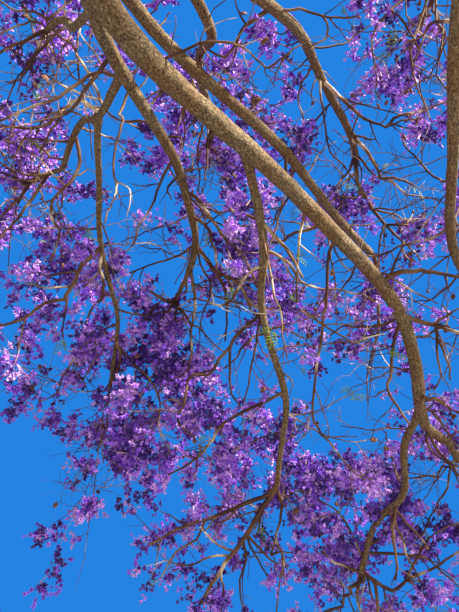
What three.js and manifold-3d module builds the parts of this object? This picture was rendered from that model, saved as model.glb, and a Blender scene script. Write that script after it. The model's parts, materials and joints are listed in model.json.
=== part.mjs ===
// A jacaranda tree in full bloom, in millimetres, with +Z up, +Y north and +X east.
// The origin is the middle of the flat cut at ground level.
//
// A short leaning trunk forks into five leaders. Sinuous boughs spread from them into a wide,
// open crown, and at the tip of each outer bough stand one or two masses of blossom: bare forking
// twigs that end in violet sprays, with here and there a woody seed pod.

import * as THREE from "three";
import { mergeVertices } from "three/addons/utils/BufferGeometryUtils.js";
import Module from "manifold-3d";

const wasm = await Module();
wasm.setup();

// Driving dimensions
const GAP = 0.3; // clearance between pieces that meet
const TRUNK_TIP = [110, 140, 2300]; // where the trunk forks
const TRUNK_RADIUS = 232; // at breast height
const FORK_RADIUS = 150; // the trunk's top, which the middle leader continues
const ROOT_FLARE = 0.62; // how much wider the trunk's foot is than the trunk
const FLARE_HEIGHT = 430; // how fast the root flare dies away
const ROOT_LOBES = 5;
const LOBE_DEPTH = 0.16;
const COLLAR = 0.3; // how much a limb swells where it leaves its parent
const COLLAR_REACH = 1.9; // in foot radii
const SNAKE = 0.02; // how far a limb winds to each side, as a share of its length
const LIMB_STEP = 740; // about how far apart the rings of a limb are
const THICK_FOOT = 58; // a limb with a thicker foot has eight sides in place of six
const STEM_REACH = 1.72; // a mass's stem, from its bough's tip, in radii of the mass
const MASS_OFFSET = 0.86; // the mass's middle, from its bough's tip, in radii of the mass
const TWIGS = 6; // on each stem
const FIRST_TWIG = 0.24; // where on the stem the twigs begin
const LAST_TWIG = 0.62;
const GOLDEN_ANGLE = 137.5;
const SPRAY = { length: 560, width: 400, forRadius: 1150 }; // in a mass of that radius
const POD = { length: 92, width: 80, thickness: 32, every: 3 }; // one in every third mass
const TWIG_TAPER = 0.62; // a shoot's thickness, as a share of what it grows on
const SHORTEST = 330; // no shoot is shorter
const SHORTENED = 0.82; // how much of its length a shoot that doesn't fit keeps at each try
const CELL_MARGIN = 6; // half the least distance between two masses
const LIMB_MARGIN = 12; // between a shoot and the limbs
const SEED = 911; // the first mass's, and SEED_STEP more for each mass after it
const SEED_STEP = 7919;
const SPRAY_SPACING = 0.93; // the least distance between two sprays' middles, in spray widths

const BARK = new THREE.MeshStandardMaterial({ color: 0x8a7150, roughness: 0.9, metalness: 0 });
const BLOSSOM = new THREE.MeshStandardMaterial({ color: 0x8a5fc7, roughness: 0.7, metalness: 0 });

// Each limb leaves its parent at a share of the parent's length; one at share 1 continues it.
// tip is its far end. near and far pull it off the straight line, a third and two thirds of the way
// along, to the right and up. snake is how far it winds, as a share of its length, and where the
// winding starts. foot and end are its radii. masses lists what stands at the tip, each as the turn
// to the right and the lift of its stem, in degrees, and the radius of the space that it fills.
const LIMBS = [
  { name: "leader_middle", on: "trunk", at: 1, tip: [-130, 1020, 4660],
    far: [0, 0], foot: 138, end: 62 },
  { name: "leader_north", on: "trunk", at: 0.9, tip: [360, 1800, 4100],
    near: [-160, 350], far: [-230, 340], snake: [0.04, 0.9], foot: 104, end: 66 },
  { name: "leader_east", on: "trunk", at: 0.85, tip: [1900, 450, 4300],
    near: [80, 310], far: [80, 310], foot: 108, end: 66 },
  { name: "leader_south", on: "trunk", at: 0.88, tip: [200, -1900, 4250],
    near: [120, 350], far: [120, 350], foot: 112, end: 68 },
  { name: "leader_west", on: "trunk", at: 0.83, tip: [-1850, -250, 4300],
    near: [-110, 320], far: [-110, 320], foot: 106, end: 66 },
  { name: "bough_north_east", on: "leader_north", at: 1, tip: [2480, 4570, 4250],
    far: [620, 570], snake: [0.012, 6.2], foot: 66, end: 49 },
  { name: "bough_north_east_far", on: "bough_north_east", at: 1, tip: [3080, 5450, 4240],
    far: [40, 40], snake: [0.035, 1.8], foot: 49, end: 40,
    masses: [[-28, 34, 1150], [14, -4, 1200]] },
  { name: "bough_north_low", on: "bough_north_east", at: 0.27, tip: [1300, 5640, 4050],
    near: [70, 470], far: [220, 230], snake: [0.028, 0.8], foot: 33, end: 27,
    masses: [[-44, 20, 1150], [34, 56, 1150]] },
  { name: "bough_north_drooping", on: "bough_north_east", at: 0.97, tip: [2130, 6310, 3560],
    near: [300, 70], far: [-40, 40], snake: [0.034, 2.6], foot: 37, end: 28,
    masses: [[-4, 30, 1150]] },
  { name: "bough_north", on: "leader_north", at: 0.81, tip: [460, 3990, 5380],
    near: [-250, 480], far: [400, 510], snake: [0.016, 4.3], foot: 41, end: 33,
    masses: [[4, -18, 1150], [70, 22, 1150]] },
  { name: "bough_north_west", on: "bough_north", at: 0.23, tip: [-1030, 3260, 5780],
    near: [50, 180], far: [190, 200], snake: [0.036, 0.6], foot: 28, end: 23,
    masses: [[-48, 34, 1150], [40, -8, 1150]] },
  { name: "bough_north_inner", on: "bough_north_west", at: 0.25, tip: [-340, 4960, 4770],
    near: [-160, 250], far: [110, 360], snake: [0.026, 0.9], foot: 25, end: 20,
    masses: [[-72, 50, 1250], [2, -6, 1300]] },
  { name: "bough_west_of_north", on: "leader_north", at: 0.91, tip: [-330, 1920, 5060],
    near: [120, 100], far: [-50, 100], snake: [0.025, 2.9], foot: 25, end: 21,
    masses: [[4, 0, 950]] },
  { name: "bough_upper_north_east", on: "leader_middle", at: 1, tip: [2270, 3950, 5620],
    far: [-100, 80], snake: [0.026, 1.6], foot: 62, end: 36,
    masses: [[-36, -20, 1150]] },
  { name: "bough_upper_east", on: "leader_middle", at: 0.79, tip: [2210, 3310, 6520],
    near: [-60, 510], far: [460, 460], snake: [0.021, 3.1], foot: 54, end: 34,
    masses: [[-42, 22, 1100], [50, -22, 1100]] },
  { name: "bough_upper_north", on: "bough_upper_east", at: 0.2, tip: [660, 3110, 6570],
    near: [170, 270], far: [170, 280], snake: [0.05, 4.8], foot: 42, end: 34,
    masses: [[8, 46, 1250]] },
  { name: "bough_top", on: "leader_middle", at: 0.84, tip: [-450, 150, 6800],
    near: [110, 160], far: [110, 160], foot: 52, end: 34,
    masses: [[-50, -36, 1350], [124, -44, 1350]] },
  { name: "bough_east_of_north", on: "leader_east", at: 0.96, tip: [3960, 4410, 4980],
    near: [-360, 90], far: [-1360, 100], snake: [0.01, 3.4], foot: 42, end: 34,
    masses: [[26, 14, 1300]] },
  { name: "bough_east", on: "leader_east", at: 1, tip: [4300, 950, 4900],
    far: [-80, 250], foot: 66, end: 36,
    masses: [[-38, 14, 1450], [40, 10, 1450]] },
  { name: "bough_east_upper", on: "leader_east", at: 0.8, tip: [2600, 1650, 6450],
    near: [120, 290], far: [120, 290], foot: 52, end: 34,
    masses: [[-4, 8, 1500]] },
  { name: "bough_south_east", on: "leader_east", at: 0.62, tip: [3500, -2500, 4750],
    near: [210, 430], far: [210, 430], foot: 56, end: 34,
    masses: [[-34, 20, 1450], [38, 12, 1450]] },
  { name: "bough_south", on: "leader_south", at: 1, tip: [900, -4500, 4650],
    far: [160, 240], foot: 68, end: 36,
    masses: [[-40, 10, 1500], [40, 14, 1500]] },
  { name: "bough_south_west", on: "leader_south", at: 0.8, tip: [-2200, -3900, 4750],
    near: [-160, 350], far: [-160, 350], foot: 56, end: 34,
    masses: [[-6, 18, 1600]] },
  { name: "bough_south_upper", on: "leader_south", at: 0.7, tip: [300, -2500, 6300],
    near: [-80, 440], far: [-80, 440], foot: 54, end: 34,
    masses: [[10, 6, 1600]] },
  { name: "bough_west", on: "leader_west", at: 1, tip: [-4250, -1000, 4850],
    far: [90, 250], foot: 66, end: 36,
    masses: [[-42, 12, 1450], [38, 14, 1450]] },
  { name: "bough_west_north", on: "leader_west", at: 0.78, tip: [-3500, 2100, 4950],
    near: [190, 320], far: [190, 320], foot: 54, end: 34,
    masses: [[10, 16, 1550]] },
  { name: "bough_west_upper", on: "leader_west", at: 0.7, tip: [-2400, 300, 6300],
    near: [-80, 440], far: [-80, 440], foot: 52, end: 34,
    masses: [[-26, 10, 1550]] },
];

const UP = new THREE.Vector3(0, 0, 1);
const radians = THREE.MathUtils.degToRad;

// Evenly spread numbers from 0 to 1 that are the same on each run.
function randomFrom(seed) {
  let state = seed >>> 0;
  return () => {
    state = (Math.imul(state, 1664525) + 1013904223) >>> 0;
    return state / 4294967296;
  };
}

// The unit vector with a heading, clockwise from north, and a climb above the horizon, in degrees.
function direction(heading, climb) {
  const flat = Math.cos(radians(climb));
  return new THREE.Vector3(
    flat * Math.sin(radians(heading)), flat * Math.cos(radians(heading)), Math.sin(radians(climb)));
}

// The same stem direction, turned to the right and lifted.
function turned(axis, turn, lift) {
  const heading = THREE.MathUtils.radToDeg(Math.atan2(axis.x, axis.y));
  const climb = THREE.MathUtils.radToDeg(Math.asin(axis.z));
  return direction(heading + turn, climb + lift);
}

// A limb's centreline: a cubic curve that also snakes a little between its ends.
class LimbCurve extends THREE.Curve {
  constructor(start, tip, near, far, [snake, phase], startTangent) {
    super();
    const chord = tip.clone().sub(start);
    this.right = new THREE.Vector3().crossVectors(chord, UP).normalize();
    this.above = new THREE.Vector3().crossVectors(this.right, chord).normalize();
    const pulled = (share, [side, lift]) => start.clone().addScaledVector(chord, share)
      .addScaledVector(this.right, side).addScaledVector(UP, lift);
    const first = startTangent
      ? start.clone().addScaledVector(startTangent, chord.length() / 3) : pulled(1 / 3, near);
    this.core = new THREE.CubicBezierCurve3(start, first, pulled(2 / 3, far), tip);
    this.snake = snake * chord.length();
    this.phase = phase;
  }

  getPoint(t, target = new THREE.Vector3()) {
    const envelope = this.snake * Math.sin(Math.PI * t) ** 2;
    return target.copy(this.core.getPoint(t))
      .addScaledVector(this.right, envelope * Math.sin(9 * t + this.phase))
      .addScaledVector(this.above, envelope * Math.cos(13 * t + this.phase));
  }
}

// Position, sideways axes and tangent at each share of a curve, with as little twist as can be.
function framesAlong(curve, shares) {
  let normal = null;
  return shares.map((t) => {
    const tangent = curve.getTangent(t);
    normal = normal || new THREE.Vector3(0.36, 0.93, 0.05);
    normal = normal.clone().addScaledVector(tangent, -normal.dot(tangent)).normalize();
    return {
      t, tangent, normal, point: curve.getPoint(t), across: new THREE.Vector3().crossVectors(normal, tangent),
    };
  });
}

// A closed tapering tube along a curve. radiusAt takes the share along the curve and the angle round it.
// grow makes it larger on all sides, ends too.
function tube(curve, radiusAt, sides, shares, grow = 0) {
  const frames = framesAlong(curve, shares);
  const last = frames.length - 1;
  frames[0].point.addScaledVector(frames[0].tangent, -grow);
  frames[last].point.addScaledVector(frames[last].tangent, grow);
  const geometry = new THREE.CylinderGeometry(1, 1, 1, sides, last);
  const place = geometry.getAttribute("position");
  for (let i = 0; i < place.count; i++) {
    const frame = frames[Math.round((place.getY(i) + 0.5) * last)];
    const out = Math.hypot(place.getX(i), place.getZ(i));
    const angle = Math.atan2(place.getZ(i), place.getX(i));
    const radius = out * (radiusAt(frame.t, angle) + grow);
    const spot = frame.point.clone()
      .addScaledVector(frame.normal, radius * Math.cos(angle))
      .addScaledVector(frame.across, radius * Math.sin(angle));
    place.setXYZ(i, spot.x, spot.y, spot.z);
  }
  return geometry;
}

// A closed geometry as a solid that can be joined and cut, and back. Faces with no area, where a
// ring closes to a point, are left out.
function solidOf(geometry) {
  const bare = new THREE.BufferGeometry().setAttribute("position", geometry.getAttribute("position"));
  bare.setIndex(geometry.index);
  const merged = mergeVertices(bare, 1e-4);
  const corners = merged.index.array;
  const faces = [];
  for (let i = 0; i < corners.length; i += 3) {
    const face = [...corners.subarray(i, i + 3)];
    if (new Set(face).size === 3) faces.push(...face);
  }
  return new wasm.Manifold(new wasm.Mesh({
    numProp: 3,
    vertProperties: merged.getAttribute("position").array,
    triVerts: new Uint32Array(faces),
  }));
}

function geometryOf(solid) {
  const mesh = solid.getMesh();
  return new THREE.BufferGeometry()
    .setAttribute("position", new THREE.BufferAttribute(mesh.vertProperties, 3))
    .setIndex(new THREE.BufferAttribute(mesh.triVerts, 1));
}

// The largest body of a solid, so that a scrap cut loose is dropped.
function largestBody(solid) {
  return solid.decompose().reduce((best, body) => (body.volume() > best.volume() ? body : best));
}

// Shares along a limb, closer together near its foot, where its collar is.
function sharesFor(steps, crowding) {
  return Array.from({ length: steps + 1 }, (_, i) => (i / steps) ** crowding);
}

function trunkLimb() {
  const tip = new THREE.Vector3(...TRUNK_TIP);
  const curve = new LimbCurve(new THREE.Vector3(), tip, [0, 0], [0, 0], [0, 0], UP);
  const radiusAt = (t, angle) => {
    const height = t * tip.z;
    const flare = Math.exp(-height / FLARE_HEIGHT);
    const shoulder = THREE.MathUtils.smoothstep(t, 0.82, 1);
    const plain = THREE.MathUtils.lerp(TRUNK_RADIUS * (1.06 - 0.1 * t), FORK_RADIUS, shoulder);
    return plain * (1 + flare * (ROOT_FLARE + LOBE_DEPTH * Math.cos(ROOT_LOBES * angle + 0.6)));
  };
  return { name: "trunk", curve, radiusAt, sides: 18, shares: sharesFor(8, 1.4) };
}

function limbOf(spec, limbs) {
  const parent = limbs.get(spec.on);
  const continues = spec.at === 1;
  const tangent = parent.curve.getTangent(spec.at);
  const start = parent.curve.getPoint(spec.at);
  if (continues) start.addScaledVector(tangent, GAP);
  const tip = new THREE.Vector3(...spec.tip);
  const snake = spec.snake || [SNAKE, 2.4 * limbs.size];
  const curve = new LimbCurve(start, tip, spec.near, spec.far, snake, continues ? tangent : null);
  const length = tip.distanceTo(start);
  const parentRadius = continues ? 0 : parent.radiusAt(spec.at, 0);
  const radiusAt = (t) => {
    const out = Math.max(0, t * length - parentRadius) / (COLLAR_REACH * spec.foot);
    const collar = continues ? 0 : COLLAR * Math.exp(-out * out);
    return THREE.MathUtils.lerp(spec.foot, spec.end, t ** 0.8) * (1 + collar);
  };
  const steps = Math.max(5, Math.round(length / LIMB_STEP));
  return {
    ...spec, curve, radiusAt, sides: spec.foot > THICK_FOOT ? 8 : 6,
    shares: sharesFor(steps, continues ? 1 : 1.5),
  };
}

// Each limb is cut clear of every earlier limb that it meets.
function limbSolids(limbs) {
  const grown = [];
  const solids = new Map();
  for (const limb of limbs.values()) {
    let solid = solidOf(tube(limb.curve, limb.radiusAt, limb.sides, limb.shares));
    for (const other of grown) solid = solid.subtract(other);
    solids.set(limb.name, largestBody(solid));
    grown.push(solidOf(tube(limb.curve, limb.radiusAt, limb.sides, limb.shares, GAP + 0.05)));
  }
  return solids;
}

// The space of each mass: a ball past its bough's tip, cut off halfway to the balls around it.
function massSpaces(limbs) {
  const masses = [];
  for (const limb of limbs.values()) {
    const tip = limb.curve.getPoint(1);
    const tangent = limb.curve.getTangent(1);
    const axes = (limb.masses || []).map(([turn, lift]) => turned(tangent, turn, lift));
    axes.forEach((axis, i) => {
      const radius = limb.masses[i][2];
      const aside = axis.clone().sub(axes[1 - i] || axis).projectOnPlane(tangent).normalize();
      masses.push({
        name: `blossom_${limb.name.replace(/^bough_/, "")}_${i + 1}`,
        base: tip.clone().addScaledVector(tangent, GAP).addScaledVector(aside, 0.5 * limb.end),
        tangent, axis, radius,
        middle: tip.clone().addScaledVector(axis, MASS_OFFSET * radius),
        thickness: (axes.length > 1 ? 0.4 : 0.7) * limb.end,
      });
    });
  }
  return masses;
}

function stemCurve(mass) {
  const end = mass.base.clone().addScaledVector(mass.axis, STEM_REACH * mass.radius);
  const bend = mass.base.clone().addScaledVector(mass.tangent, 0.3 * mass.radius);
  return new THREE.QuadraticBezierCurve3(mass.base, bend, end);
}

// How far a point is inside a mass's space, less than 0 outside it.
function depthInside(point, mass, masses) {
  const power = point.distanceToSquared(mass.middle) - mass.radius ** 2;
  return masses.reduce((least, other) => {
    if (other === mass) return least;
    const theirs = point.distanceToSquared(other.middle) - other.radius ** 2;
    return Math.min(least, (theirs - power) / (2 * other.middle.distanceTo(mass.middle)));
  }, mass.radius - point.distanceTo(mass.middle));
}

// The least distance between the segments ab and cd.
function segmentDistance(a, b, c, d) {
  const u = b.clone().sub(a);
  const v = d.clone().sub(c);
  const w = a.clone().sub(c);
  const uu = u.dot(u);
  const vv = v.dot(v);
  const uv = u.dot(v);
  const clamp = (x) => Math.min(1, Math.max(0, x));
  const slope = uu * vv - uv * uv;
  let s = slope > 1e-9 ? clamp((uv * v.dot(w) - vv * u.dot(w)) / slope) : 0;
  const t = clamp((uv * s + v.dot(w)) / vv);
  s = clamp((uv * t - u.dot(w)) / uu);
  return w.addScaledVector(u, s).addScaledVector(v, -t).length();
}

// The limbs and stems as short straight rods, which twigs and sprays keep clear of.
function rodsAlong(owner, curve, radiusAt, steps) {
  return Array.from({ length: steps }, (_, i) => ({
    owner,
    from: curve.getPoint(i / steps),
    to: curve.getPoint((i + 1) / steps),
    radius: Math.max(radiusAt(i / steps, 0), radiusAt((i + 1) / steps, 0)),
  }));
}

function keepsClear(from, to, radius, mass, rods) {
  return rods.every((rod) => rod.owner === mass.name
    || segmentDistance(from, to, rod.from, rod.to) > radius + rod.radius + LIMB_MARGIN);
}

// How far it is from a point inside a mass to the edge of the mass's ball, along a direction.
function reachTo(point, axis, mass) {
  const offset = point.clone().sub(mass.middle);
  const along = offset.dot(axis);
  return -along + Math.sqrt(Math.max(0, along * along - offset.lengthSq() + mass.radius ** 2));
}

// A shoot: a bare twig that swells into a spray of blossom at its end, with three or four sides.
function shootAlong(curve, length, sprayLength, radius, rings, sides) {
  const spray = Math.min(sprayLength, 0.8 * length);
  const width = spray * SPRAY.width / SPRAY.length * (sides === 3 ? 1.12 : 1);
  const shoot = { curve, radius, bare: 1 - spray / length, width, sides };
  shoot.shares = [...rings, shoot.bare, (1 + shoot.bare) / 2, 1];
  shoot.radii = shoot.shares.map((share) => thicknessAt(shoot, share));
  shoot.radii.splice(-2, 2, width / 2, 0);
  shoot.middle = curve.getPoint((1 + shoot.bare) / 2);
  return shoot;
}

// The radius of a shoot's bare part, and the middle of its tube, which runs straight between rings.
function thicknessAt({ radius, bare }, share) {
  return radius * (1 - 0.35 * share / bare);
}

function middleAt({ curve, shares }, share) {
  const next = shares.findIndex((ring) => ring > share);
  const [from, to] = [shares[next - 1], shares[next]];
  return curve.getPoint(from).lerp(curve.getPoint(to), (share - from) / (to - from));
}

function shootGeometry(shoot) {
  return tube(shoot.curve, (t) => shoot.radii[shoot.shares.indexOf(t)], shoot.sides, shoot.shares);
}

// A shoot fits where all its corners are in its mass's space, and it keeps clear of the limbs, of
// the other masses' stems and of this mass's other sprays.
function fits(shoot, shoots, mass, masses, rods) {
  if (shoots.some((other) => other.middle.distanceTo(shoot.middle)
    < SPRAY_SPACING * (other.width + shoot.width) / 2)) return false;
  const place = shootGeometry(shoot).getAttribute("position");
  const corner = new THREE.Vector3();
  for (let i = 0; i < place.count; i++) {
    if (depthInside(corner.fromBufferAttribute(place, i), mass, masses) < CELL_MARGIN) return false;
  }
  const spray = (share) => THREE.MathUtils.lerp(shoot.bare, 1, share);
  const spans = [[0, shoot.bare, shoot.radii[0]], [shoot.bare, spray(0.25), 0.25 * shoot.width],
    [spray(0.25), spray(0.75), 0.5 * shoot.width], [spray(0.75), 1, 0.25 * shoot.width]];
  return spans.every(([from, to, radius]) => keepsClear(
    shoot.curve.getPoint(from), shoot.curve.getPoint(to), radius, mass, rods));
}

// The growth rule. Twigs leave the stem in a spiral and bend upwards, a side twig leaves each of
// them, and each ends in a spray. One that doesn't fit is made shorter, and in the end left out.
function grow(mass, seed, masses, rods) {
  const random = randomFrom(seed);
  const full = SPRAY.length * mass.radius / SPRAY.forRadius;
  const stem = shootAlong(stemCurve(mass), STEM_REACH * mass.radius, full, mass.thickness, [0, 0.3], 4);
  const shoots = [];
  const sprout = (root, axis, share, radius, size, sides) => {
    const reach = share * reachTo(root, axis, mass);
    for (let length = reach; length > SHORTEST; length *= SHORTENED) {
      const bend = root.clone().addScaledVector(axis, 0.5 * length);
      const tip = root.clone().addScaledVector(axis, length).addScaledVector(UP, 0.07 * length);
      const curve = new THREE.QuadraticBezierCurve3(root, bend, tip);
      const shoot = shootAlong(curve, length, size * full, TWIG_TAPER * radius, [0], sides);
      if (fits(shoot, [stem, ...shoots], mass, masses, rods)) {
        shoots.push(shoot);
        return shoot;
      }
    }
    return null;
  };
  for (let j = 0; j < TWIGS; j++) {
    const share = FIRST_TWIG + (LAST_TWIG - FIRST_TWIG) * j / (TWIGS - 1);
    const [frame] = framesAlong(stem.curve, [share]);
    const round = radians(j * GOLDEN_ANGLE + 40 * random());
    const open = radians(84 - 50 * share + 12 * random());
    const axis = frame.tangent.clone().multiplyScalar(Math.cos(open))
      .addScaledVector(frame.normal, Math.sin(open) * Math.cos(round))
      .addScaledVector(frame.across, Math.sin(open) * Math.sin(round))
      .addScaledVector(UP, 0.15).normalize();
    const [reach, size, along, turn, slope, sideSize] = Array.from({ length: 6 }, random);
    const twig = sprout(middleAt(stem, share), axis, 0.86 + 0.1 * reach, thicknessAt(stem, share),
      0.9 + 0.25 * size, 4);
    if (!twig) continue;
    const beside = new THREE.Vector3().crossVectors(axis, UP).normalize();
    const leaning = axis.clone().multiplyScalar(0.45)
      .addScaledVector(beside, (j % 2 ? 0.8 : -0.8) * (0.8 + 0.4 * turn))
      .addScaledVector(UP, 0.7 * slope - 0.35).normalize();
    const fork = twig.bare * (0.5 + 0.4 * along);
    sprout(middleAt(twig, fork), leaning, 0.86, thicknessAt(twig, fork), 0.8 + 0.25 * sideSize, 3);
  }
  return [stem, ...shoots];
}

// A flat oval seed pod that hangs from the middle of a twig.
function podGeometry(twig) {
  const root = middleAt(twig, 0.5 * twig.bare);
  const matrix = new THREE.Matrix4().makeRotationZ(root.x);
  matrix.scale(new THREE.Vector3(POD.width, POD.thickness, POD.length).multiplyScalar(0.5));
  matrix.setPosition(root.addScaledVector(UP, -0.5 * POD.length));
  return new THREE.OctahedronGeometry(1).applyMatrix4(matrix);
}

function massSolid(shoots, hasPod) {
  const pieces = shoots.map((shoot) => solidOf(shootGeometry(shoot)));
  if (hasPod && shoots.length > 1) pieces.push(solidOf(podGeometry(shoots[1])));
  return largestBody(pieces.reduce((joined, piece) => joined.add(piece)));
}

function buildTree() {
  const limbs = new Map([["trunk", trunkLimb()]]);
  for (const spec of LIMBS) limbs.set(spec.name, limbOf(spec, limbs));
  const masses = massSpaces(limbs);
  const rods = [...limbs.values()].flatMap((limb) => rodsAlong(limb.name, limb.curve, limb.radiusAt, 10));
  for (const mass of masses) rods.push(...rodsAlong(mass.name, stemCurve(mass), () => mass.thickness, 4));

  const tree = new THREE.Group();
  const add = (name, solid, material) => {
    const mesh = new THREE.Mesh(geometryOf(solid), material);
    mesh.name = name;
    tree.add(mesh);
  };
  for (const [name, solid] of limbSolids(limbs)) add(name, solid, BARK);
  masses.forEach((mass, i) => {
    const shoots = grow(mass, SEED + SEED_STEP * i, masses, rods);
    add(mass.name, massSolid(shoots, i % POD.every === 0), BLOSSOM);
  });
  return tree;
}

export default buildTree();
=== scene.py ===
"""A jacaranda tree in full bloom. Sizes are in metres, with +Z up, +Y north and +X east.

The limbs, and the rule that grows the twigs of each blossom mass, are those of the solid model. On
them this script grows bark with relief, finer twigs, panicles of bell flowers, a few fresh leaves
and woody seed pods.
"""

import json
import math

import bpy
import numpy as np
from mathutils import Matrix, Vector, noise

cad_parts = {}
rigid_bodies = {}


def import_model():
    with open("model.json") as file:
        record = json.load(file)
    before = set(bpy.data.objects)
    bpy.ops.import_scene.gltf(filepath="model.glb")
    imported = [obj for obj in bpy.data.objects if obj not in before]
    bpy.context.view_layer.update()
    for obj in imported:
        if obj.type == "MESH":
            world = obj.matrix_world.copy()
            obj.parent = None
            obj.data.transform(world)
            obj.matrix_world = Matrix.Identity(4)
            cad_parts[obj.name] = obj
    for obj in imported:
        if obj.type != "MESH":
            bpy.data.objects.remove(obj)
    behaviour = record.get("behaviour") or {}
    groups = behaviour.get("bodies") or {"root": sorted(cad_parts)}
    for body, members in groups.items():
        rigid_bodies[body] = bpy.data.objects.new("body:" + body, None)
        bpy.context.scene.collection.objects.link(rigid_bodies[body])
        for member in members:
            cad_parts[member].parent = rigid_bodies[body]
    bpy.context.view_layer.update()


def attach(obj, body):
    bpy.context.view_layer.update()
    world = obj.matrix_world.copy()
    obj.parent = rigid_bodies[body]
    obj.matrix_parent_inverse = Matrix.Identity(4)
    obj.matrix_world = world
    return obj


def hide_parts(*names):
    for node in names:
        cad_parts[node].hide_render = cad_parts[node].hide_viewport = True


UP = np.array([0.0, 0.0, 1.0])
FULL_TURN = 2 * math.pi
NEARLY_FULL_TURN = 6.28
GOLDEN_ANGLE = math.radians(137.5)

# Trunk and limbs
GAP = 0.0003
TRUNK_TIP = (0.11, 0.14, 2.3)
TRUNK_RADIUS = 0.232
FORK_RADIUS = 0.15
ROOT_FLARE = 0.62
FLARE_HEIGHT = 0.43
ROOT_LOBES = 5
LOBE_DEPTH = 0.16
NARROWS_FROM, NARROWS_OVER = 0.82, 0.18  # shares of the trunk's height where it narrows to its fork
COLLAR = 0.3
COLLAR_REACH = 1.9
SNAKE = 0.02
SNAKE_TURNS = (9, 13)  # sideways and upwards, in radians over a limb's length
SNAKE_STEP = 2.4  # radians between the windings of one limb and the next

# Blossom masses
STEM_REACH = 1.72
MASS_OFFSET = 0.86
STEM_THICKNESS, PAIRED_THICKNESS = 0.7, 0.4  # in radii of the bough's end
STEM_ASIDE = 0.5  # how far paired stems start from the bough's axis, in those radii
TWIGS = 6
FIRST_TWIG = 0.24
LAST_TWIG = 0.62
SPRAY_LENGTH = 0.56
SPRAY_WIDTH = 0.4
SPRAY_RADIUS = 1.15
TWIG_TAPER = 0.62
TWIG_NARROWING = 0.35  # from its foot to its spray
TWIG_REACH, SIDE_TWIG_REACH = (0.86, 0.1), 0.86  # shares of the way to the edge, and a random part
TWIG_OPENING = (84, 50, 12)  # degrees at the stem's foot, less at its tip, and a random part
TWIG_WANDER = 40  # degrees round the stem, at most
TWIG_RISE = 0.15  # how far its direction turns upwards
MOST_SPRAY = 0.8  # of a twig's length
THREE_SIDED = 1.12  # how much wider a spray with three sides is
SHORTEST = 0.33
SHORTENED = 0.82
CELL_MARGIN = 0.006
LIMB_MARGIN = 0.012
SPRAY_SPACING = 0.93
SEED = 911
SEED_STEP = 7919
LIFT = 0.07  # how far a twig bends upwards, in its lengths
LIMB_RODS, STEM_RODS = 10, 4  # straight parts that stand for each, where twigs keep clear of them

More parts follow.
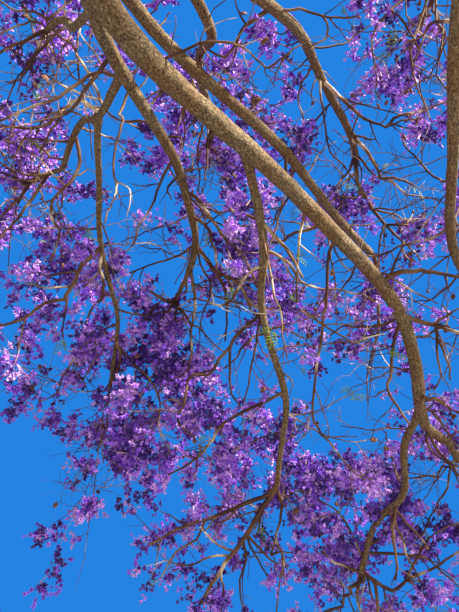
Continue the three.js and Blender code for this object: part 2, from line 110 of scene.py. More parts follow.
# Each limb's name, the limb that it leaves and the share of that one's length where it does (one
# at share 1 continues it), its tip, how far it is pulled aside and up near its foot and far from
# it, how far it winds and where the winding starts, and its radii at its foot and its end. Then,
# for each mass at its tip, the stem's turn and lift in degrees and the radius of the mass's space.
# A dash stands for none, or for the usual winding, and a semicolon ends a limb.
LIMBS = """
leader_middle trunk 1 -0.13,1.02,4.66 - 0,0 - 0.138 0.062;
leader_north trunk 0.9 0.36,1.8,4.1 -0.16,0.35 -0.23,0.34 0.04,0.9 0.104 0.066;
leader_east trunk 0.85 1.9,0.45,4.3 0.08,0.31 0.08,0.31 - 0.108 0.066;
leader_south trunk 0.88 0.2,-1.9,4.25 0.12,0.35 0.12,0.35 - 0.112 0.068;
leader_west trunk 0.83 -1.85,-0.25,4.3 -0.11,0.32 -0.11,0.32 - 0.106 0.066;
bough_north_east leader_north 1 2.48,4.57,4.25 - 0.62,0.57 0.012,6.2 0.066 0.049;
bough_north_east_far bough_north_east 1 3.08,5.45,4.24 - 0.04,0.04 0.035,1.8 0.049 0.04
    -28,34,1.15 14,-4,1.2;
bough_north_low bough_north_east 0.27 1.3,5.64,4.05 0.07,0.47 0.22,0.23 0.028,0.8 0.033 0.027
    -44,20,1.15 34,56,1.15;
bough_north_drooping bough_north_east 0.97 2.13,6.31,3.56 0.3,0.07 -0.04,0.04 0.034,2.6 0.037 0.028
    -4,30,1.15;
bough_north leader_north 0.81 0.46,3.99,5.38 -0.25,0.48 0.4,0.51 0.016,4.3 0.041 0.033
    4,-18,1.15 70,22,1.15;
bough_north_west bough_north 0.23 -1.03,3.26,5.78 0.05,0.18 0.19,0.2 0.036,0.6 0.028 0.023
    -48,34,1.15 40,-8,1.15;
bough_north_inner bough_north_west 0.25 -0.34,4.96,4.77 -0.16,0.25 0.11,0.36 0.026,0.9 0.025 0.02
    -72,50,1.25 2,-6,1.3;
bough_west_of_north leader_north 0.91 -0.33,1.92,5.06 0.12,0.1 -0.05,0.1 0.025,2.9 0.025 0.021 4,0,0.95;
bough_upper_north_east leader_middle 1 2.27,3.95,5.62 - -0.1,0.08 0.026,1.6 0.062 0.036 -36,-20,1.15;
bough_upper_east leader_middle 0.79 2.21,3.31,6.52 -0.06,0.51 0.46,0.46 0.021,3.1 0.054 0.034
    -42,22,1.1 50,-22,1.1;
bough_upper_north bough_upper_east 0.2 0.66,3.11,6.57 0.17,0.27 0.17,0.28 0.05,4.8 0.042 0.034 8,46,1.25;
bough_top leader_middle 0.84 -0.45,0.15,6.8 0.11,0.16 0.11,0.16 - 0.052 0.034 -50,-36,1.35 124,-44,1.35;
bough_east_of_north leader_east 0.96 3.96,4.41,4.98 -0.36,0.09 -1.36,0.1 0.01,3.4 0.042 0.034 26,14,1.3;
bough_east leader_east 1 4.3,0.95,4.9 - -0.08,0.25 - 0.066 0.036 -38,14,1.45 40,10,1.45;
bough_east_upper leader_east 0.8 2.6,1.65,6.45 0.12,0.29 0.12,0.29 - 0.052 0.034 -4,8,1.5;
bough_south_east leader_east 0.62 3.5,-2.5,4.75 0.21,0.43 0.21,0.43 - 0.056 0.034 -34,20,1.45 38,12,1.45;
bough_south leader_south 1 0.9,-4.5,4.65 - 0.16,0.24 - 0.068 0.036 -40,10,1.5 40,14,1.5;
bough_south_west leader_south 0.8 -2.2,-3.9,4.75 -0.16,0.35 -0.16,0.35 - 0.056 0.034 -6,18,1.6;
bough_south_upper leader_south 0.7 0.3,-2.5,6.3 -0.08,0.44 -0.08,0.44 - 0.054 0.034 10,6,1.6;
bough_west leader_west 1 -4.25,-1,4.85 - 0.09,0.25 - 0.066 0.036 -42,12,1.45 38,14,1.45;
bough_west_north leader_west 0.78 -3.5,2.1,4.95 0.19,0.32 0.19,0.32 - 0.054 0.034 10,16,1.55;
bough_west_upper leader_west 0.7 -2.4,0.3,6.3 -0.08,0.44 -0.08,0.44 - 0.052 0.034 -26,10,1.55
"""

# Blossom, leaves and pods
FINER_SPRAYS = (17, 4)  # added to each mass, in the photograph's view and out of it
FINER_SPACING = 0.6  # the least distance between their middles, in spray widths
FINER_LENGTH = 0.66  # in lengths of the mass's other sprays
FINER_TRIES = 14  # for each
FINER_ROOTS = (0.25, 0.9)  # shares of the bare twig that carries them
FINER_TWIGS = (0.55, 1.1)  # from root to tip, in the same lengths
FINER_EDGE, FINER_ROOM = 0.06, 0.09  # to the mass's edge, and round each twig
TWIGLETS = (3, 1)  # on each shoot, in the view and out of it
TWIGLET_LENGTHS = (0.2, 0.45)
TWIGLET_BLOOM = 0.3  # share of them that end in blossom
STEM_FOOT, PAIRED_FOOT = 0.95, 0.72  # radii of the wood of one stem, and of two, in the bough's end's
STEM_SUNK = 0.03  # how far that wood starts inside the bough
WOOD_WIDTH, WOOD_END = 0.65, 0.3  # a twig's radius where its spray starts, and how much of it is left
PANICLES = (9, 7)  # in a spray of the usual size, in the view and out of it
PANICLE_REACH = 0.085  # how far the flowers stand out from a panicle's axis
PANICLE_RADII = (0.0036, 0.003, 0.0018)  # of its axis, from foot to tip
PANICLE_BOW = 0.08  # how far the axis bends aside, in its lengths
BRANCHLETS = 4  # on each panicle
FIRST_BRANCHLET = 0.3  # share of the axis below it
BRANCHLET_LENGTH = 0.07
BRANCHLET_RADIUS = 0.002
BRANCHLET_SLANT = (1.15, 0.75, 0.55)  # outwards at the axis's foot, less at its tip, and forwards
FLOWERS = (4, 3)  # on each branchlet, of those smaller than LARGE and of larger ones
LARGE = 1.08  # the size, in usual ones, from which one flower stands for several
UNSEEN_SIZE = 1.65  # of the flowers on sprays out of the view, of which there are fewer
FLOWER_LENGTH = 0.049
FIRST_FLOWER = 0.35  # share of the branchlet below it
FLOWER_SCATTER, FLOWER_DROOP = 0.62, 0.18  # how far flowers turn from their branchlet's direction
BUD_SHARE = 0.16
BUD_SHORTER = 0.3
TINT_SCATTER = 1.1  # between the branchlets of a panicle, in tints
SHADE_CORE_FLOWERS = 3  # larger, deep in each panicle, and one or two tints darker as painted shade
CORE_LENGTH = 0.072
GAP_EDGE = 0.07  # how far a panicle's middle keeps outside a gap
WOOD_EDGE = 0.055  # and beside wood that it would hide
TINTS = {  # plain petal colours and how much of the blossom has each
    "pale": ((0.80, 0.46, 1.0), 0.12),
    "light": ((0.62, 0.275, 1.0), 0.32),
    "middle": ((0.40, 0.13, 0.94), 0.34),
    "deep": ((0.18, 0.038, 0.55), 0.17),
    "dusk": ((0.07, 0.012, 0.27), 0.05),
}
LEAF_TUFTS = 0.02  # share of the side twigs that end in fresh leaves
LEAF_DROOP = 0.25  # how far a leaf's tip hangs, in its lengths
LEAF_PAIRS = 5
POD_SHARE = 0.04
POD_RADIUS = 0.026
POD_THICKNESS = 0.009
POD_SIDES = 10
LEAST_RADIUS = 0.0034  # of a branch at its foot
NODE_SPACING = 0.085  # between a branch's bends
SWING = (0.1, 0.5)  # how far it turns aside at each
KINK = 0.013  # how far a shoot's wood strays from its curve, in its lengths

# Bark relief
RING_SPACING, TRUNK_RING_SPACING = 0.038, 0.022
SIDE_WIDTH = 0.0118
FEWEST, MOST = 14, 120  # the fewest rings or sides of a limb, and the most sides
COARSER = 1.75  # on limbs out of the photograph's view
CROWDING = 1.25  # how much closer the rings are at a limb's foot
SUNK = 0.012  # how far a limb's first ring is pushed back into its carrier
FISSURE = 0.0022
FISSURES_ROUND, FISSURES_ALONG = 36, 8  # per metre
WRINKLES_ALONG = 26  # per metre
LUMPS_PER_METRE, LUMP_HEIGHT = 5.5, 0.1  # the height in limb radii
KNOTS_PER_METRE = 0.9
KNOT_WIDTH, KNOT_HEIGHT = 0.75, 0.17  # in limb radii
FORK_WIDTH, FORK_HEIGHT = 1.7, 0.3  # of the swelling where a branch leaves, in its foot's radii

# The photograph's view, which the camera takes: its place, its tilt above level, and its frame
CAMERA_PLACE = np.array([0.85, 1.45, 1.55])
CAMERA_TILT = math.radians(52)
LENS, SENSOR = 27.7, 36  # millimetres, along the long side
WIDTH, HEIGHT = 459, 612  # pixels
FOCAL = LENS / SENSOR * HEIGHT
NEAREST = 0.5  # metres ahead of the camera
FINE_MARGIN, TWIGLET_MARGIN, GAP_MARGIN = 60, 30, 20  # pixels past the frame that count as in view
AHEAD = np.array([0, math.cos(CAMERA_TILT), math.sin(CAMERA_TILT)])
ABOVE = np.array([0, -math.sin(CAMERA_TILT), math.cos(CAMERA_TILT)])

# Where the photograph shows open sky, and where the blossom is thick: round places, each as pixels
# across and down and a radius in pixels
SKY_GAPS = """
190,30,14 82,66,14 98,88,10 20,30,9 12,82,9 58,86,12 24,112,7 126,108,14 110,152,8 76,122,9 128,182,14
5,160,7 4,196,5 74,214,7 140,242,15 166,264,14 172,282,9 168,288,8 166,192,8 212,180,9 20,249,8
266,84,13 330,20,22 314,50,13 334,70,16 350,78,10 332,116,14 374,112,12 300,112,9 332,150,17 302,192,14
318,172,12 376,150,20 392,200,18 426,166,20 430,196,14 404,172,16 350,176,12 286,222,11 304,236,10
342,262,14 302,272,10 350,288,9 422,290,16 442,286,14 432,352,18 452,340,12 336,398,24 360,424,27
376,376,17 334,426,14 432,482,20 450,474,14 231,312,11 206,334,9 241,372,11 226,350,8 290,366,10
288,386,12 92,560,16 58,500,14 96,590,14 262,372,6 205,486,8 28,560,14 386,64,4 398,28,3 378,50,2
431,60,4 448,46,4 424,88,4 406,104,3 46,350,2 56,370,4 41,386,3 78,406,5 86,417,4 72,452,5 98,452,5
58,472,6 104,472,5 88,486,6 69,496,7 118,482,4 217,492,3 258,493,3 247,511,4 232,530,5 252,545,5
262,560,5 259,594,10 240,590,5 299,592,6 222,550,5 292,506,2 318,452,4 300,446,3
"""
THICKETS = """
100,282,40 60,304,24 140,340,42 160,395,48 215,440,48 130,440,30 268,440,26 300,478,36 362,530,42
288,562,22 440,560,40 208,592,22 236,230,26 278,130,24 425,128,22 395,60,26 30,150,26 236,30,26
285,42,26 168,8,16 180,112,32 226,78,24 245,120,26 62,176,26 145,158,20 222,162,22 250,185,24
108,345,36 190,410,40 356,500,50 110,20,14 322,372,16 270,104,36 295,56,20 262,36,16 300,160,16
312,100,14 28,190,14 18,282,18 152,66,20 166,14,20 135,278,24 215,316,16 160,430,34 220,440,30
351,378,10 441,462,14
"""
THIN, UNSEEN = 0.54, 0.72  # the blossom elsewhere and outside the view, set against thickets

# Thinner branches that the photograph shows, each as it lies there, under the name of the limb that
# it leaves: its width at its foot and its path, in pixels. A dash marks a fork, which starts on the
# path of the branch above it, and two dashes mark a fork's fork. A word says how one ends, where
# that isn't in blossom.
BRANCHES = """
bough_upper_east
4.5 323,79 340,97 354,110 370,121 385,127
- 3.5 383,127 400,115 420,112 435,106 459,98
- 2.5 385,127 402,121 415,119 423,118
5 357,158 357,178 362,191 373,209 385,225 402,241
- 2.5 402,241 402,251 409,260 411,268
- 2 402,241 417,255 420,262 bare
- 3 363,197 350,198 337,197 330,203
- 2.5 376,208 385,212 396,215 405,219 420,219 leaf
- 3 396,216 405,225 415,222 432,224 bare
- 3 386,226 381,235 379,250 379,267
- 2 357,170 349,180 347,192 344,206 bare
2.5 320,76 321,100 325,125 330,153 345,167 362,192
5 347,132 362,145 372,160 381,178
- 3.5 380,176 395,178 407,182 415,187 leaf
- 2 379,175 385,168 390,164 399,166
3 280,8 300,10 322,16 345,18 361,17
- 3 322,16 328,26 326,38 314,45 306,50
- 1.6 331,17 340,30 349,43 bare
4.5 268,8 255,20 243,28 236,42 225,57 205,47
bough_north_east
3 173,45 200,43 228,42 243,47 262,63 270,67 285,55 300,44
- 2 201,44 211,59 228,75 242,87 252,97
-- 1.5 228,75 233,86 238,96
-- 1.5 242,87 256,90 268,92
-- 1.5 252,97 260,108 264,122
-- 1.5 252,97 270,104 284,110
- 1.5 243,47 254,42 264,36
- 1.5 262,63 254,74 246,80
- 1.5 285,55 293,62 301,62
- 1.5 272,66 280,78 290,86
- 2 262,65 267,75 274,85
- 2.5 292,50 285,57 277,72 274,83
4 183,78 172,84 160,95 150,107
3 189,86 188,100 183,110 177,127
3 205,107 195,120 187,130
3 211,125 207,140 208,155 206,170 205,180
3 298,213 300,235 298,260 297,285 299,308 310,317
2.5 283,200 279,215 275,233 269,248 267,265 270,287
3.5 331,237 328,262 327,290 324,315 321,345 316,375 312,412 318,428 330,443 350,468 365,480
- 2 324,328 350,323 377,319 395,317
- 2.5 324,326 345,338 356,343 367,337 388,334
- 2 321,345 357,343 374,355 387,353 leaf
- 2 325,437 340,436 357,437 bare
- 3 321,325 310,315 298,305 leaf
- 1.5 327,288 340,303 bare
2 373,283 367,300 358,315 354,322
3 376,269 385,274 397,281 410,290 437,303
6 385,277 397,273 412,271 428,271 445,274 468,278
4 393,322 393,345 391,370 388,390 398,408 410,425
- 2 388,390 375,396 366,398 leaf
- 2 391,372 372,380 352,388 leaf
6 400,313 415,320 432,324 445,328 466,335
- 3.5 432,323 445,317 459,308
- 3.5 434,325 437,337 443,350 449,365 450,380
- 3 434,325 438,360 440,376 434,391
bough_north_east_far
2 421,384 434,393 445,402
5 422,396 435,399 450,408 466,416
3 418,432 428,445 440,458 459,467
bough_north_low
5 266,222 275,236 290,255 303,278
- 2.5 264,222 275,297 281,310 282,335 287,357
4 253,314 240,332 230,347 220,360 209,374 192,376 187,385 184,405 178,413 180,425 195,438
- 3 230,347 230,370 231,393 240,407
- 2.5 184,405 172,400 160,404
3 257,315 258,330 255,350 250,375 243,405
3.5 240,400 225,422 213,440 200,455 190,463 168,475
- 1.5 235,408 243,420 244,436
- 1.5 225,422 222,434 228,446
- 1.5 213,440 203,434 196,424
- 1.5 200,455 210,460 216,468
3 260,328 272,328 283,328 300,337 310,338
2 278,365 290,362 298,358 leaf
2 280,368 292,381 290,395
2 290,415 312,413 340,400 362,388
bough_north
4 187,190 198,200 208,213 217,227 225,239 238,250 247,262 256,286
5 198,246 206,258 216,271 229,278 240,285 246,298 252,310
- 3.5 217,273 223,285 227,300 227,315 225,341
- 3 246,298 258,308 274,308 281,307
4 196,215 202,222 209,230 212,243 216,257 216,270
2 182,170 195,169 210,167 212,160 222,142
3 174,177 168,187 171,200
3 177,128 181,138 178,160 bare
3 193,244 188,250 174,257 160,262 145,266 117,279
- 1.5 145,266 140,276 142,290
- 1.5 134,271 129,282 130,298
2 152,98 158,90 164,80
2 146,88 148,76 154,66
2 138,76 138,66 142,56
5 189,280 183,285 177,295 175,303 158,297 150,291
- 3 175,303 184,313 190,323 200,329 210,340 224,352
- 3 175,303 165,315 160,320
3.5 190,282 195,297 194,315 190,335 192,350 186,375
3 115,98 120,112 123,120 118,138 115,150 113,170 117,185 115,195 110,208 104,222
- 1.8 117,180 130,190 130,203 126,217
bough_upper_north_east
4 282,154 286,170 289,186 bare
2 244,118 252,108 262,100
2 258,130 268,124 278,122
2 272,144 284,138 292,128
2 284,156 296,154 304,150
2 296,170 304,166 312,158
2 158,28 164,20 170,12
2 148,18 155,10 160,2
2 264,136 262,122 268,110
2 236,110 241,98 244,84
bough_upper_east
2 318,76 312,88 312,102
2 292,30 282,34 273,32
2 298,42 288,46 280,44
2 308,58 300,66 292,72
bough_north_east
2 166,56 156,60 148,66
2 176,68 166,74 158,80
bough_north_west
4 106,65 95,73 75,85 60,97 40,104 20,112 -8,122
5 95,108 85,103 76,100 65,108 55,118 45,125 30,128 -8,124
4 25,184 22,195 12,205 -4,221
- 3 25,183 10,175 -8,172
- 1.5 25,185 28,172 26,160
- 1.5 22,195 30,204 28,218
2 36,128 34,142 31,160
2 33,128 26,138 20,148
4 50,178 35,195 25,208 15,222 -4,240
4 88,140 80,160 72,180 62,190 53,200 51,216 57,226 60,235 50,262
- 2 53,200 40,203 30,207
bough_north_inner
5 93,249 82,265 75,280 66,295 62,300 50,301 35,310 20,320 -8,328
4 97,250 100,265 103,280 102,298 93,306 84,328
- 2 104,290 113,298 119,305 122,320
2 114,333 102,350 90,368 82,378
3.5 121,342 121,358 117,370 108,392
bough_west_of_north
4 50,31 30,38 7,48 -8,60
3 48,29 37,22 25,24 -8,36
3 48,29 45,18 30,12 15,10 -4,0
- 3 46,20 60,10 75,-4
2 48,32 47,50 51,58 55,75
2 71,28 69,40 62,50 58,65 56,76 47,88 42,98
- 1.5 56,76 48,77 pod
bough_east_upper
3 392,-6 391,10 380,22 374,32 372,48 376,68
- 3 391,8 402,20 410,32 420,50
- 1.5 374,60 376,84 377,104 pod
3 429,-6 420,22 414,38 411,50 413,70 417,88 423,100 432,125
- 2 411,44 400,55 393,72
- 1.5 415,80 410,90 pod
3 438,-6 437,20 443,30 440,50 436,75
- 2 436,75 425,80 405,90
- 2 436,75 447,90
bough_east_of_north
2 447,192 438,203 431,217 420,230 408,250
2.5 453,253 438,263 425,273 410,286 396,300
bough_north_drooping
4 403,508 394,520 393,540 397,560 396,580
- 3 403,509 408,524 418,535 425,543
5 361,573 375,585 378,618
- 4 359,574 357,600 366,618
3 350,575 335,562 320,550
4 366,590 392,591 406,580 428,571 445,560 464,548
- 2.5 406,580 424,545 442,530 460,522
3 398,560 420,556 436,566 462,590
2.5 362,560 344,520 330,506 318,500
bough_north_low
6 275,489 268,500 255,520 243,540 230,556 216,578 200,604
- 3 243,540 246,560 240,580 242,606
- 2.5 230,556 210,556 190,566 168,562
5 276,488 262,497 245,503 230,510 205,520 180,528 150,545
- 3 205,520 196,540 176,552 160,580
3.5 277,490 282,506 280,520 275,540 271,556
- 2.5 271,554 280,552 292,553 bare
- 3 275,540 284,560 280,584 276,612
bough_north_east_far
3 423,405 436,415 446,431 464,454
bough_north_inner
3 120,345 132,362 150,380 160,402 158,425 170,450
- 2 150,380 140,400 128,420
- 1.5 150,380 157,370 160,358
- 1.5 156,392 165,386 170,374
- 1.5 160,402 168,408 178,418
- 1.5 158,425 152,434 148,448
- 1.5 163,436 174,438 184,436
"""

# Branches along each bough besides those, and twigs along each branch of the table
BOUGH_SPACING = 0.24
TWIG_SPACING = 0.22
LONGEST_FORK = 0.4  # on any branch
WIDE_BLOOM, LAID_BLOOM = 0.45, 0.7  # shares of the twigs of both that end in blossom


# Small helpers

def numbers(word):
    """A table's word as numbers, or None for a dash."""
    return None if word == "-" else [float(number) for number in word.split(",")]


def places(table):
    return np.array([numbers(word) for word in table.split()])


def unit(vector):
    return vector / np.linalg.norm(vector)


def lerp(a, b, share):
    return a + (b - a) * share


class Dice:
    """Evenly spread numbers from 0 to 1 that are the same on each run and in the solid model."""

    def __init__(self, seed):
        self.state = seed & 0xFFFFFFFF

    def __call__(self):
        self.state = (self.state * 1664525 + 1013904223) & 0xFFFFFFFF
        return self.state / 4294967296


# The photograph's view

SKY_PLACES, THICK_PLACES = places(SKY_GAPS), places(THICKETS)


def photo_pixel(points):
    """Pixels across and down of points in the photograph's view, and how far ahead they are."""
    away = np.atleast_2d(points) - CAMERA_PLACE
    ahead = away @ AHEAD
    across = WIDTH / 2 + FOCAL * away[:, 0] / ahead
    return np.stack([across, HEIGHT / 2 - FOCAL * (away @ ABOVE) / ahead, ahead], 1)


def photo_point(across, down, ahead):
    side = np.array([across - WIDTH / 2, 0, 0]) / FOCAL
    return CAMERA_PLACE + ahead * (AHEAD + side + (HEIGHT / 2 - down) / FOCAL * ABOVE)


def in_view(point, margin):
    across, down, ahead = photo_pixel(point)[0]
    return ahead > NEAREST and -margin < across < WIDTH + margin and -margin < down < HEIGHT + margin


def fullness(point, shown):
    """How thick the blossom is at a place: 0 in a gap, or in front of wood that the view shows."""
    if not in_view(point, GAP_MARGIN):
        return UNSEEN
    across, down, ahead = photo_pixel(point)[0]

    def among(rows, edge):
        near = np.hypot(rows[:, 0] - across, rows[:, 1] - down) < rows[:, 2] + edge
        return near & (rows[:, 3] > ahead) if rows.shape[1] > 3 else near

    if among(SKY_PLACES, GAP_EDGE * FOCAL / ahead).any() or among(shown, WOOD_EDGE * FOCAL / ahead).any():
        return 0
    return 1 if among(THICK_PLACES, 0).any() else THIN


# Curves

class Curve:
    def tangent(self, t):
        before, after = self.point(max(0, t - 1e-4)), self.point(min(1, t + 1e-4))
        return unit(after - before)


class Bezier(Curve):
    def __init__(self, *controls):
        self.controls = np.array(controls, float)

    def point(self, t):
        points = self.controls
        while len(points) > 1:
            points = points[:-1] + (points[1:] - points[:-1]) * t
        return points[0]


class LimbCurve(Curve):
    """A limb's centreline: a cubic curve that also snakes a little between its ends."""

    def __init__(self, start, tip, near, far, snake, start_tangent):
        chord = tip - start
        length = np.linalg.norm(chord)
        self.right = unit(np.cross(chord, UP)) if abs(chord @ UP) < length else np.array([1.0, 0, 0])
        self.above = unit(np.cross(self.right, chord))

        def pulled(share, aside):
            return start + chord * share + self.right * aside[0] + UP * aside[1]

        first = pulled(1 / 3, near) if start_tangent is None else start + start_tangent * length / 3
        self.core = Bezier(start, first, pulled(2 / 3, far), tip)
        self.snake, self.phase = snake[0] * length, snake[1]

    def point(self, t):
        envelope = self.snake * math.sin(math.pi * t) ** 2
        return (self.core.point(t)
                + self.right * envelope * math.sin(SNAKE_TURNS[0] * t + self.phase)
                + self.above * envelope * math.cos(SNAKE_TURNS[1] * t + self.phase))


def frames_along(curve, shares):
    """Points, sideways axes and tangents along a curve, with as little twist as can be."""
    normal = np.array([0.36, 0.93, 0.05])
    rows = []
    for t in shares:
        tangent = curve.tangent(t)
        normal = unit(normal - tangent * (normal @ tangent))
        rows.append((curve.point(t), normal, np.cross(normal, tangent), tangent))
    return [np.array(column) for column in zip(*rows)]


def rings_round(points, normals, across, angles, radii):
    """A ring of points round each of some points, all in one list."""
    ring = (normals[:, None] * np.cos(angles)[None, :, None]
            + across[:, None] * np.sin(angles)[None, :, None])
    return (points[:, None] + np.asarray(radii)[:, None, None] * ring).reshape(-1, 3)


# The skeleton, grown by the solid model's rule

class Limb:
    """A limb of the table, given by the words of its row there."""

    def __init__(self, words, limbs):
        self.name, carrier, at, tip, near, far, snake, foot, end, *masses = words
        self.parent, self.at = limbs[carrier], float(at)
        self.foot, self.end = float(foot), float(end)
        self.masses = [numbers(mass) for mass in masses]
        self.continues = self.at == 1
        tangent = self.parent.curve.tangent(self.at)
        start = self.parent.curve.point(self.at)
        if self.continues:
            start = start + tangent * GAP
        tip = np.array(numbers(tip))
        self.curve = LimbCurve(start, tip, numbers(near), numbers(far),
                               numbers(snake) or (SNAKE, SNAKE_STEP * len(limbs)),
                               tangent if self.continues else None)
        self.length = np.linalg.norm(tip - start)
        self.parent_radius = 0 if self.continues else self.parent.radius(self.at, 0)

    def radius(self, t, _angle):
        out = max(0, t * self.length - self.parent_radius) / (COLLAR_REACH * self.foot)
        collar = 0 if self.continues else COLLAR * math.exp(-out * out)
        return lerp(self.foot, self.end, t ** 0.8) * (1 + collar)


class Trunk:
    name, parent, parent_radius, continues, masses = "trunk", None, 0, False, []

    def __init__(self):
        tip = np.array(TRUNK_TIP)
        self.curve = LimbCurve(np.zeros(3), tip, (0, 0), (0, 0), (0, 0), UP)
        self.length = np.linalg.norm(tip)
        self.foot, self.end = TRUNK_RADIUS, FORK_RADIUS

    def radius(self, t, angle):
        flare = math.exp(-t * TRUNK_TIP[2] / FLARE_HEIGHT)
        rise = min(1, max(0, (t - NARROWS_FROM) / NARROWS_OVER))
        plain = lerp(TRUNK_RADIUS * (1.06 - 0.1 * t), FORK_RADIUS, rise * rise * (3 - 2 * rise))
        return plain * (1 + flare * (ROOT_FLARE + LOBE_DEPTH * math.cos(ROOT_LOBES * angle + 0.6)))


class Mass:
    """The space of a blossom mass: a ball past its bough's tip, cut off halfway to the others."""

    def __init__(self, limb, i, axes, radius):
        tip, self.tangent = limb.curve.point(1), limb.curve.tangent(1)
        self.name = "blossom_%s_%d" % (limb.name.replace("bough_", ""), i + 1)
        self.limb, self.axis, self.radius = limb, axes[i], radius
        aside = np.zeros(3)
        if len(axes) > 1:
            apart = axes[i] - axes[1 - i]
            aside = unit(apart - self.tangent * (apart @ self.tangent))
        self.base = tip + self.tangent * GAP + aside * STEM_ASIDE * limb.end
        self.middle = tip + self.axis * MASS_OFFSET * radius
        self.thickness = (PAIRED_THICKNESS if len(axes) > 1 else STEM_THICKNESS) * limb.end
        self.stem = Bezier(self.base, self.base + self.tangent * 0.3 * radius,
                           self.base + self.axis * STEM_REACH * radius)


def turned(axis, turn, lift):
    heading = math.atan2(axis[0], axis[1]) + math.radians(turn)
    climb = math.asin(axis[2]) + math.radians(lift)
    flat = math.cos(climb)
    return np.array([flat * math.sin(heading), flat * math.cos(heading), math.sin(climb)])


class Shoot:
    """A bare twig that swells into a spray of blossom at its end."""

    def __init__(self, curve, length, spray_length, radius, rings, sides):
        spray = min(spray_length, MOST_SPRAY * length)
        self.curve, self.length, self.radius, self.sides = curve, length, radius, sides
        self.width = spray * SPRAY_WIDTH / SPRAY_LENGTH * (THREE_SIDED if sides == 3 else 1)
        self.bare = 1 - spray / length
        self.shares = [*rings, self.bare, (1 + self.bare) / 2, 1]
        self.radii = [self.thickness(share) for share in self.shares[:-2]] + [self.width / 2, 0]
        self.middle = curve.point((1 + self.bare) / 2)
        self.parent, self.root_share = None, 0

    def thickness(self, share):
        return self.radius * (1 - TWIG_NARROWING * share / self.bare)

    def middle_at(self, share):
        after = next(i for i, ring in enumerate(self.shares) if ring > share)
        low, high = self.shares[after - 1], self.shares[after]
        return lerp(self.curve.point(low), self.curve.point(high), (share - low) / (high - low))

    def corners(self):
        points, normals, across, _ = frames_along(self.curve, self.shares)
        angles = math.pi / 2 - FULL_TURN * np.arange(self.sides) / self.sides
        return rings_round(points, normals, across, angles, self.radii)


